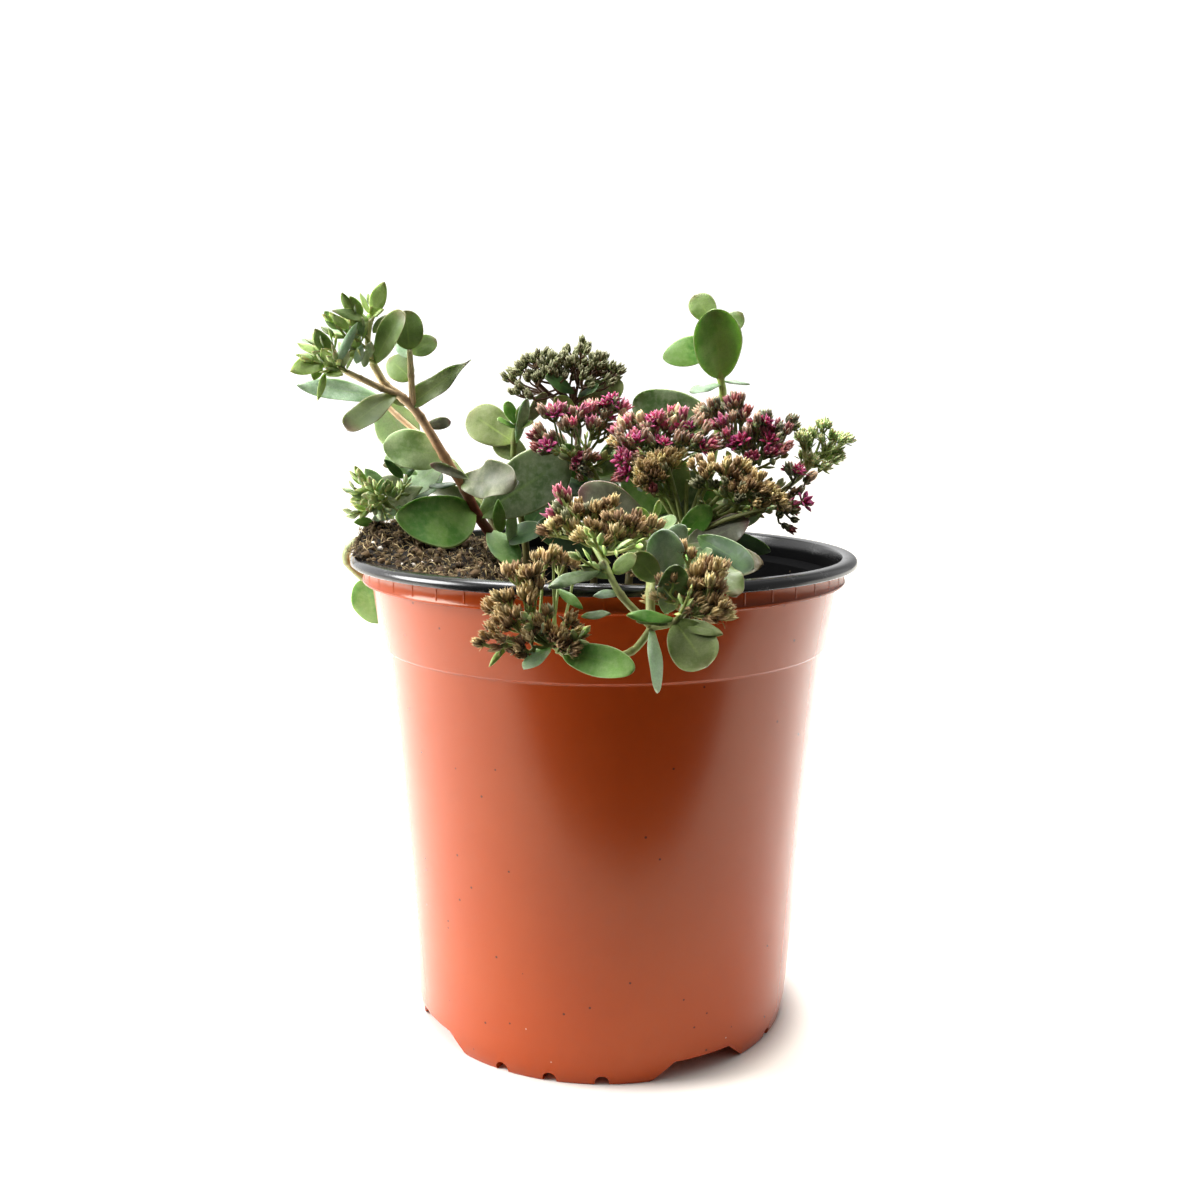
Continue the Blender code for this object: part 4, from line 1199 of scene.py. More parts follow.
# Smaller leaves, several to a piece: the part's node that they stand for, slot, and for each look the base,
# tip, width and facing of its leaves, with what differs from the plain small leaf
smallLeaves = {
    "smallLeavesLeft": (None, "leaf", {
        "moss": [
            ((-61, -12, 219), (-53.5, -8, 223.5), 6.8, (0, -1, 0.2), dict(widen=0.5)),
            ((-61, -11, 211), (-69.0, -4, 217.5), 8.6, (0, -1, 0.1), dict(widen=0.5))],
        "mint": [((-61, -9, 218), (-66.5, -4, 223), 5, (0, -1, 0.1), dict(widen=0.5))],
        "plum": [
            ((-58, -6, 196), (-50, -1, 197.5), 4.0, (0, -1, 0.1)),
            ((-44, -3, 179), (-56, -8, 184), 3.6, (0.2, -0.9, 0.4), dict(cup=0.5))],
        "greyGreen": [((-62, -4, 203), (-69, -5, 206), 4.5, (0, -0.9, 0.3))],
        "olive": [((-53, 0, 186), (-73, 3, 183), 4, (0, -0.9, 0.4))],
    }),
    "shootTop": ("young_shoot_top", "green_bud", {
        "fresh": [
            ((-72, -15, 231), (-68.3, -16, 240), 5.0, (0, -1, 0.1)),
            ((-73.4, -15, 231), (-76.2, -13, 237), 2.0, (0.6, -0.8, 0)),
            ((-72.5, -14, 233), (-74, -12, 237), 1.8, (0.3, -1, 0)),
            ((-71.8, -15, 230), (-68.5, -17, 232), 2.0, (0, -0.7, 0.7)),
            ((-72.6, -13, 231), (-71, -8, 238), 4.0, (0.2, 0.9, 0.3))],
        "moss": [((-73.3, -16, 229), (-82.4, -24, 231), 4.0, (-0.1, -0.9, 0.5))],
        "olive": [
            ((-72.3, -14, 225), (-68.4, -12, 230.5), 2.8, (0.2, -1, 0.2)),
            ((-73, -13, 228), (-77, -6, 231), 4.0, (0, 0.7, 0.7))],
    }),
    "shootMiddle": (None, "green_bud", {
        "fresh": [
            ((-78.2, -18, 231), (-80.2, -21, 236.5), 3.1, (-0.3, -1, 0.2)),
            ((-75.2, -17, 230), (-78, -20, 235.5), 3.5, (0.2, -1, 0.1)),
            ((-78.9, -21, 226), (-82.5, -25, 230), 3.3, (-0.5, -1, 0.2)),
            ((-77, -15, 226), (-82, -9, 230), 4.0, (-0.3, 0.8, 0.5))],
        "sage": [
            ((-81.8, -19, 226), (-85.8, -20, 231), 4.0, (-0.2, -1, 0.1)),
            ((-75.2, -18, 224), (-76.9, -17, 229), 3.2, (0, -1, 0))],
        "mint": [((-81.7, -17, 224), (-85.2, -14, 227), 2.6, (0, -1, 0.3))],
        "moss": [((-76, -14, 222), (-80, -7, 226), 4.4, (0, 0.8, 0.5))],
    }),
    "shootLeft": ("young_shoot_left", "green_bud", {
        "mint": [
            ((-82.1, -24, 215), (-75.2, -26, 227), 2.8, (0.3, -0.9, 0.4)),
            ((-88, -18, 218), (-94.7, -14, 223), 2.8, (0, -1, 0.1)),
            ((-76.8, -19, 215.5), (-74.7, -21, 221), 2.8, (0.3, -1, 0))],
        "olive": [((-83.3, -20, 224), (-87.5, -18, 226.5), 2.0, (0, -0.9, 0.4))],
        "moss": [
            ((-84.4, -21, 218), (-88.3, -23, 225.5), 4.8, (-0.2, -1, 0.2)),
            ((-88, -20, 215.5), (-89.5, -22, 210.5), 3.4, (0.3, -1, 0)),
            ((-82, -16, 216), (-84, -9, 222), 4.4, (0.1, 0.8, 0.6))],
        "fresh": [
            ((-87.2, -20, 218), (-94.8, -18, 221.5), 3.0, (0, -0.8, 0.6)),
            ((-89, -20, 217), (-95.2, -19, 218), 2.2, (0, -0.9, 0.4)),
            ((-85.6, -22, 216.5), (-95.2, -26, 213), 6.4, (0, -0.9, 0.4)),
            ((-85.7, -23, 212.5), (-80, -25, 212), 2.8, (0, -0.8, 0.6)),
            ((-85.7, -23, 212.5), (-87.3, -27, 204.5), 2.2, (0.4, -0.9, 0)),
            ((-82.7, -23, 213.5), (-85.8, -26, 219.5), 4.1, (-0.3, -1, 0.2)),
            ((-80.5, -20, 215), (-79.5, -23, 219.5), 2.8, (0.3, -0.9, 0.2)),
            ((-84, -17, 215), (-92, -11, 218), 4.6, (-0.3, 0.7, 0.6)),
            ((-80, -18, 214), (-79, -12, 219), 3.6, (0.3, 0.8, 0.5))],
        "sage": [((-74.8, -17, 214.5), (-73.4, -20, 219.5), 2.4, (0.3, -1, 0))],
    }),
    "budLeavesLow": ("buds_left_low", "green_bud", {
        "fresh": [
            ((-77, -4, 176), (-80.4, -6, 183), 3.0, (-0.2, -1, 0.1)),
            ((-78.3, -3, 177), (-82.4, -3, 180.5), 2.3, (0, -0.8, 0.5))],
        "mint": [
            ((-71.2, -2, 174), (-77.3, -4, 182), 5.2, (-0.3, -1, 0.2)),
            ((-67.8, -4, 168.5), (-75, -6, 166), 3.9, (0, -0.9, 0.4))],
        "grey": [((-66.3, 2, 177), (-73.2, 2, 179), 3.4, (0, -0.9, 0.4))],
        "dark": [
            ((-65.9, 0, 179), (-71.3, -3, 185), 3.1, (0, -0.9, 0.4)),
            ((-65.5, 0, 179), (-61.7, -2, 182.5), 1.9, (0, -0.9, 0.4))],
        "sage": [
            ((-75.5, -4, 173), (-82.2, -6, 174.5), 3.2, (0, -0.9, 0.4)),
            ((-68.5, -6, 173), (-69.7, -9, 179), 3.4, (0.2, -1, 0.1))],
        "green": [
            ((-75.5, -4, 165), (-81, -6, 165), 3.2, (0, -0.9, 0.4)),
            ((-73, 0, 174), (-80, 6, 178), 4.4, (-0.2, 0.8, 0.5))],
        "moss": [((-71, 1, 174), (-70, 8, 180), 4.4, (0.2, 0.8, 0.5))],
    }),
    "leavesUnderStem": (None, "leaf", {
        "dark": [((-48.3, 2, 177), (-57.5, 0, 176), 3.2, (0, -0.6, 0.8))],
        # these leaves' look has painted backlight in its colour
        "lit": [
            ((-53.5, 5, 184), (-66.0, 4, 174), 9.5, (0, -1, 0.5), dict(widen=0.6)),
            ((-62, 4, 180), (-72, 2, 186), 5.5, (0, -1, 0.5), dict(widen=0.8))],
        "grey": [((-60, 3, 176), (-75, 2, 168), 6.5, (0, -1, 0.4), dict(widen=0.7))],
        "mint": [((-30.5, 4, 170), (-31, 6, 157), 4.0, (0, -1, 0))],
        "green": [((-35, 2, 172), (-34.5, 4, 161), 4.5, (0, -1, 0))],
    }),
    "smallLeavesUpright": (None, "leaf", {
        "mint": [
            ((40, 16, 210), (28.5, 15, 207.5), 4.0, (0, -0.7, 0.7), dict(widen=0.9)),
            ((40, 16, 211), (49, 17, 210), 2.4, (0, -0.5, 0.9), dict(blunt=0.9))],
        "green": [((22, 34, 196), (38, 34, 200), 12, (0, -0.9, 0.4), dict(widen=0.6))],
    }),
    "smallLeavesCentre": (None, "leaf", {
        "pale": [((-26, 22, 184), (-38, 26, 191), 9, (0, -0.9, 0.4))],
        "mint": [((-30, 19, 190), (-26, 14, 205), 4, (0.4, -0.9, 0.1))],
        "grey": [((-27, 21, 196), (-20, 22, 207), 5, (0.5, -0.8, 0.1))],
        "green": [
            ((-30, 20, 195), (-36, 14, 198), 3.6, (0, -0.7, 0.7)),
            ((-30, 20, 196), (-33, 16, 204), 4.6, (-0.3, -0.9, 0.3))],
        "moss": [
            ((-29, 20, 196), (-27, 15, 203), 4.4, (0.2, -0.9, 0.3)),
            ((-30, 20, 195), (-24, 15, 197), 3.6, (0, -0.7, 0.7))],
    }),
    "smallLeavesDarkHead": (None, "leaf", {
        "dark": [
            ((-10, 26, 207), (-20, 17, 212), 7, (0, -0.8, 0.6)),
            ((-9, 26, 206), (-2, 18, 209), 5, (0, -0.8, 0.6))],
        "pale": [
            ((-9, 26, 205), (2, 26, 209), 8, (0, -0.9, 0.4), dict(widen=0.6)),
            ((-9, 26, 200), (6, 30, 211), 10, (0, -1, 0.2), dict(widen=0.6))],
        "fresh": [((-9, 27, 198), (-17, 20, 205), 7, (0, -0.9, 0.3))],
    }),
    "innerLeavesGrey": (None, "leaf", {
        "plum": [
            ((14, -22, 167), (-8, -30, 177), 14, (0, -0.85, 0.5), dict(widen=0.7, cup=0.1)),
            ((26, -16, 158), (45.5, -22, 167.5), 10.5, (-0.2, -0.85, 0.5), dict(widen=0.6, wave=0.05))],
    }),
    "innerLeavesFront": (None, "leaf", {
        "grey": [((16, -30, 152), (13, -54, 166), 15, (0.1, -0.8, 0.6), dict(widen=0.6))],
        "greyGreen": [
            ((18, -34, 152), (30, -58, 161), 12, (0.2, -0.8, 0.5), dict(widen=0.6)),
            ((16, -93, 150), (18.5, -98, 163.5), 8.0, (0.2, -1, 0.3), dict(widen=0.7))],
        "olive": [((30, -74, 162), (35.5, -84, 153.5), 8.5, (0.3, -0.9, 0.2), dict(widen=0.6, wave=0.05))],
        "dark": [((27.5, -46, 165), (42.5, -60, 157.5), 8.5, (0.1, -1, 0.05), dict(widen=0.7))],
        "bluish": [((17, -89, 156), (14.5, -93, 172), 10.5, (0.1, -1, 0.4), dict(widen=0.6, wave=0.04))],
        "moss": [((14, -90, 158), (7.5, -95, 166), 7.0, (-0.2, -1, 0.3), dict(widen=0.7))],
    }),
    "smallLeavesFront": (None, "leaf", {
        "green": [
            ((18, -99, 149.5), (5.5, -104, 151.5), 3.6, (0, -0.8, 0.6), dict(blunt=0.7)),
            ((-12, -98, 157), (-5.5, -101, 152.5), 2.8, (0, -0.8, 0.5), dict(blunt=0.8)),
            ((13, -80, 161), (24, -90, 165), 6, (0.3, -0.8, 0.6), dict(widen=0.8))],
        "pale": [
            ((18, -98, 148.5), (8, -102, 149.5), 2.6, (0, -0.7, 0.7), dict(blunt=0.7)),
            ((18, -99, 149), (30, -103, 146.5), 4, (0, -0.8, 0.5), dict(blunt=0.7))],
        "mint": [((4, -96, 156), (-3, -99, 155.5), 2.6, (0, -0.8, 0.6), dict(blunt=0.8))],
        "greyGreen": [((-6, -98, 150), (1.6, -102, 151.5), 2.6, (0, -0.8, 0.6), dict(blunt=0.8))],
        # this leaf's look has painted backlight in its colour
        "lit": [((-14, -97, 142), (-20.5, -104, 137.5), 4.4, (-0.2, -0.8, 0.5), dict(widen=0.6))],
        "fresh": [
            ((-24, -97, 144), (-29.5, -102, 137.5), 1.9, (-0.2, -0.9, 0.2), dict(blunt=0.8)),
            ((14, -46, 168), (9.5, -50, 174), 3.4, (-0.2, -0.9, 0.3)),
            ((14, -46, 168), (16, -48, 176), 2.6, (0.5, -0.8, 0.2))],
        "moss": [
            ((2, -95, 161), (8, -99, 166), 4.5, (0.3, -0.8, 0.5), dict(widen=0.6)),
            ((2, -95, 160), (-6, -99, 163), 4.0, (-0.2, -0.8, 0.6), dict(widen=0.6))],
        "bluish": [((15, -66, 161), (22, -72, 171), 6, (0.2, -0.9, 0.4), dict(widen=0.8))],
        "sage": [((14, -45, 168), (21, -50, 170), 5.5, (0, -0.8, 0.6))],
    }),
    "innerLeavesDark": (None, "leaf", {
        "dark": [
            ((-28, 28, 158), (-18, 18, 172), 9, (-0.1, -0.9, 0.3)),
            ((-3, 6, 154), (-22, -4, 164), 12, (0, -0.8, 0.6)),
            ((-14, 33, 158), (-22, 22, 170), 8, (0, -0.8, 0.6)),
            ((22, -9, 150), (4, -20, 160), 12, (0, -0.7, 0.7)),
            ((31, 27, 160), (44, 16, 168), 10, (0.3, -0.7, 0.7)),
            ((-40, 42, 162), (-52, 30, 166), 10, (-0.3, -0.6, 0.8)),
            ((10, 34, 152), (26, 42, 160), 10, (0.2, 0.3, 0.9)),
            ((-36, 10, 158), (-20, 0, 162), 9, (0.1, -0.8, 0.6))],
        "greyGreen": [
            ((22, -9, 156), (8, -4, 172), 10, (-0.2, -0.9, 0.3)),
            ((26, -4, 164), (29, 0, 182), 12, (0.1, -1, 0.3), dict(widen=0.6)),
            ((36, -2, 164), (52, 0, 170), 9, (0.2, -0.9, 0.4), dict(widen=0.6)),
            ((-2, 6, 180), (8, 4, 192), 9, (0.1, -1, 0.3), dict(widen=0.6))],
        "green": [
            ((24, -12, 160), (33, -20, 172), 8, (0.2, -0.9, 0.3)),
            ((-2, 3, 166), (4, -6, 178), 8, (0.3, -0.9, 0.3)),
            ((21, -7, 169), (6, -3, 179.5), 10, (-0.2, -1, 0.3), dict(widen=0.6)),
            ((28, -4, 162), (42, 0, 178), 11, (0.2, -1, 0.3), dict(widen=0.6)),
            ((-6, 4, 178), (-14, 6, 190), 8, (-0.1, -1, 0.3), dict(widen=0.6))],
        "bluish": [((24, -6, 166), (12, -4, 182), 11, (-0.2, -1, 0.3), dict(widen=0.6))],
        "moss": [((22, -4, 170), (24, -2, 186), 10, (0, -1, 0.2), dict(widen=0.6))],
    }),
}


def makeSmallLeaves():
    seed = 100
    for name, (node, slot, looks) in smallLeaves.items():
        young = slot == "green_bud"
        plain = {"thickness": 1.1, "widen": 0.62, "blunt": 0.78} if young else {"thickness": 1.1}
        grow = 1.05 if young else 1.0
        nodes = (node,) if node else ()
        for look, group in looks.items():
            bm = startLeaves()
            for base, tip, width, facing, *style in group:
                tip = Vector(base).lerp(Vector(tip), grow)
                addLeaf(bm, base, tip, width * grow, facing, {**plain, **dict(*style)}, seed)
                seed += 1
            piece = f"{name}_{look}"
            finishPiece(addObject(piece, meshFrom(bm, piece), leafMaterials[look]), slot, *nodes)


makeSmallLeaves()
print("small leaves ready")

# Shapes of the flowers, buds and tiny leaves: each stands on the origin and grows up Z


def addLobe(bm, tones, length, width, depth, lean, curl, out=0.0, turn=0.0, foot=0.0, fullest=0.4):
    # a pointed lens that leans out from the axis and curls more towards its tip
    layer = bm.verts.layers.float_color["tone"]
    spin = Matrix.Rotation(turn, 3, "Z")
    across = Vector((0.0, 1.0, 0.0))
    place = Vector((out, 0.0, foot))
    rings, last = [], 0.0
    for share, size in ((0.0, 0.42), (fullest, 1.0), (0.5 + fullest * 0.55, 0.62)):
        angle = math.radians(lean + curl * share)
        way = Vector((math.sin(angle), 0.0, math.cos(angle)))
        inward = Vector((-way.z, 0.0, way.x))
        place = place + way * length * (share - last)
        last = share
        # colour runs from the base colour to the widest part's, then on to the tip's; the darker base is
        # partly the lobe's own colour and partly painted shade where the lobes crowd together
        if share <= fullest:
            colour = mixed(tones[0], tones[1], share / fullest)
        else:
            colour = mixed(tones[1], tones[2], 0.55)
        ring = []
        wide, deep = across * width * size / 2, inward * depth * size / 2
        for offset in (wide, deep, -wide, -deep):
            vert = bm.verts.new(spin @ (place + offset) * mm)
            vert[layer] = colour
            ring.append(vert)
        rings.append(ring)
    angle = math.radians(lean + curl)
    way = Vector((math.sin(angle), 0.0, math.cos(angle)))
    point = bm.verts.new(spin @ (place + way * length * (1 - last)) * mm)
    point[layer] = tones[2]
    joinRings(bm, rings)
    for k in range(4):
        bm.faces.new((rings[-1][k], rings[-1][(k + 1) % 4], point))
    bm.faces.new(reversed(rings[0]))


def floretShape(name, seed, *whorls):
    # whorls of lobes, each a dictionary for addLobe with a count and a first angle
    bm = bmesh.new()
    bm.verts.layers.float_color.new("tone")
    rng = random.Random(seed)
    for lobes in whorls:
        lobe = dict(lobes)
        count, start, wobble = lobe.pop("count"), lobe.pop("start", 0.0), lobe.pop("wobble", 6.0)
        for i in range(count):
            own = dict(lobe, lean=lobe["lean"] + rng.uniform(-wobble, wobble),
                       length=lobe["length"] * rng.uniform(0.9, 1.08))
            addLobe(bm, turn=start + math.tau * i / count + rng.uniform(-0.08, 0.08), **own)
    bmesh.ops.recalc_face_normals(bm, faces=bm.faces)
    return meshFrom(bm, name)


# for each: colours at a lobe's base, its widest part and its tip; the dark bases are partly painted shade in
# the gaps between the florets
petal = {
    "magenta": tones((98, 10, 52), (150, 24, 84), (176, 60, 114)),
    "rose": tones((100, 52, 54), (160, 72, 98), (186, 118, 130)),
    "dusty": tones((76, 76, 42), (124, 98, 74), (164, 138, 112)),
    "tan": tones((110, 96, 60), (176, 150, 112), (204, 178, 138)),
    "wine": tones((76, 36, 32), (124, 54, 62), (152, 94, 86)),
    "sepal": tones((74, 92, 42), (96, 112, 58), (122, 114, 78)),
    "olive": tones((52, 56, 32), (92, 96, 64), (146, 144, 112)),
    "oliveSepal": tones((66, 76, 40), (88, 98, 56), (116, 110, 76)),
    "husk": tones((78, 74, 40), (150, 124, 84), (176, 150, 106)),
    "huskDark": tones((60, 56, 30), (112, 88, 58), (136, 108, 72)),
    "straw": tones((104, 110, 58), (164, 146, 100), (196, 178, 130)),
    "fresh": tones((120, 144, 80), (154, 174, 110), (182, 184, 136)),
}


def whorl(tones, count, length, width, depth, lean, curl, **others):
    return dict(tones=petal[tones], count=count, length=length, width=width, depth=depth, lean=lean,
                curl=curl, **others)


flowerKinds = {
    # letter: whorls of lobes from the middle outwards
    "M": (whorl("magenta", 5, 3.4, 1.6, 0.8, 12, 24, out=0.35, start=0.63),
          whorl("magenta", 5, 3.5, 2.3, 0.5, 36, 40, out=0.5, fullest=0.55),
          whorl("sepal", 5, 2.6, 1.4, 0.6, 30, 0, out=0.5, start=0.63, foot=-0.6)),
    "R": (whorl("magenta", 3, 3.6, 1.3, 0.9, 3, 6, out=0.3),
          whorl("rose", 5, 4.3, 2.0, 0.8, 14, 6, out=0.55, fullest=0.5),
          whorl("dusty", 5, 2.8, 1.5, 0.6, 24, -4, out=0.6, start=0.63, foot=-0.6)),
    "D": (whorl("dusty", 5, 4.4, 1.9, 1.1, 13, -12, out=0.55, fullest=0.45),
          whorl("sepal", 5, 2.4, 1.5, 0.6, 26, -8, out=0.6, start=0.63, foot=-0.6)),
    "B": (whorl("tan", 5, 4.8, 2.4, 1.4, 18, -36, out=0.65, fullest=0.5),
          whorl("sepal", 5, 2.2, 1.5, 0.5, 30, -4, out=0.7, start=0.63, foot=-0.6)),
    "W": (whorl("wine", 5, 4.0, 1.8, 1.0, 13, -6, out=0.5, fullest=0.45),
          whorl("dusty", 5, 2.6, 1.5, 0.6, 26, -4, out=0.6, start=0.63, foot=-0.6)),
    "O": (whorl("olive", 5, 4.0, 1.8, 1.1, 14, -10, out=0.6, fullest=0.45),
          whorl("oliveSepal", 5, 2.5, 1.6, 0.6, 30, -6, out=0.6, start=0.63, foot=-0.6)),
    "G": (whorl("fresh", 5, 3.2, 1.5, 0.9, 13, -4, out=0.45),
          whorl("fresh", 4, 2.6, 1.3, 0.4, 44, 12, out=0.4, start=0.63, foot=-0.4)),
    "H": (whorl("straw", 4, 4.3, 0.55, 0.4, 7, 4, out=0.2, wobble=8.0),
          whorl("husk", 5, 3.8, 1.6, 0.9, 19, -16, out=0.7, fullest=0.45, wobble=9.0),
          whorl("huskDark", 4, 2.7, 1.0, 0.3, 40, 22, out=0.6, start=0.63, foot=-0.5, wobble=18.0)),
    "K": (whorl("husk", 3, 3.9, 0.5, 0.4, 8, 4, out=0.2, wobble=8.0),
          whorl("huskDark", 5, 3.6, 1.6, 0.9, 18, -16, out=0.7, fullest=0.45, wobble=10.0),
          whorl("husk", 4, 2.5, 1.0, 0.3, 42, 24, out=0.6, start=0.63, foot=-0.5, wobble=18.0)),
    "S": (whorl("straw", 4, 4.2, 0.6, 0.4, 7, 4, out=0.2, wobble=8.0),
          whorl("straw", 5, 3.8, 1.6, 0.9, 19, -14, out=0.7, fullest=0.45, wobble=9.0),
          whorl("husk", 4, 2.7, 1.0, 0.3, 38, 22, out=0.6, start=0.63, foot=-0.5, wobble=18.0)),
}
flowerSizes = {"O": 0.84, "H": 0.9, "K": 0.88, "S": 0.9}
flowerForms = 3
flowerShapes = shapeSet("floret", [floretShape(letter + str(form), 7 * form + ord(letter), *whorls)
                                   for letter, whorls in flowerKinds.items() for form in range(flowerForms)])
print("flower shapes ready")

# Flower heads

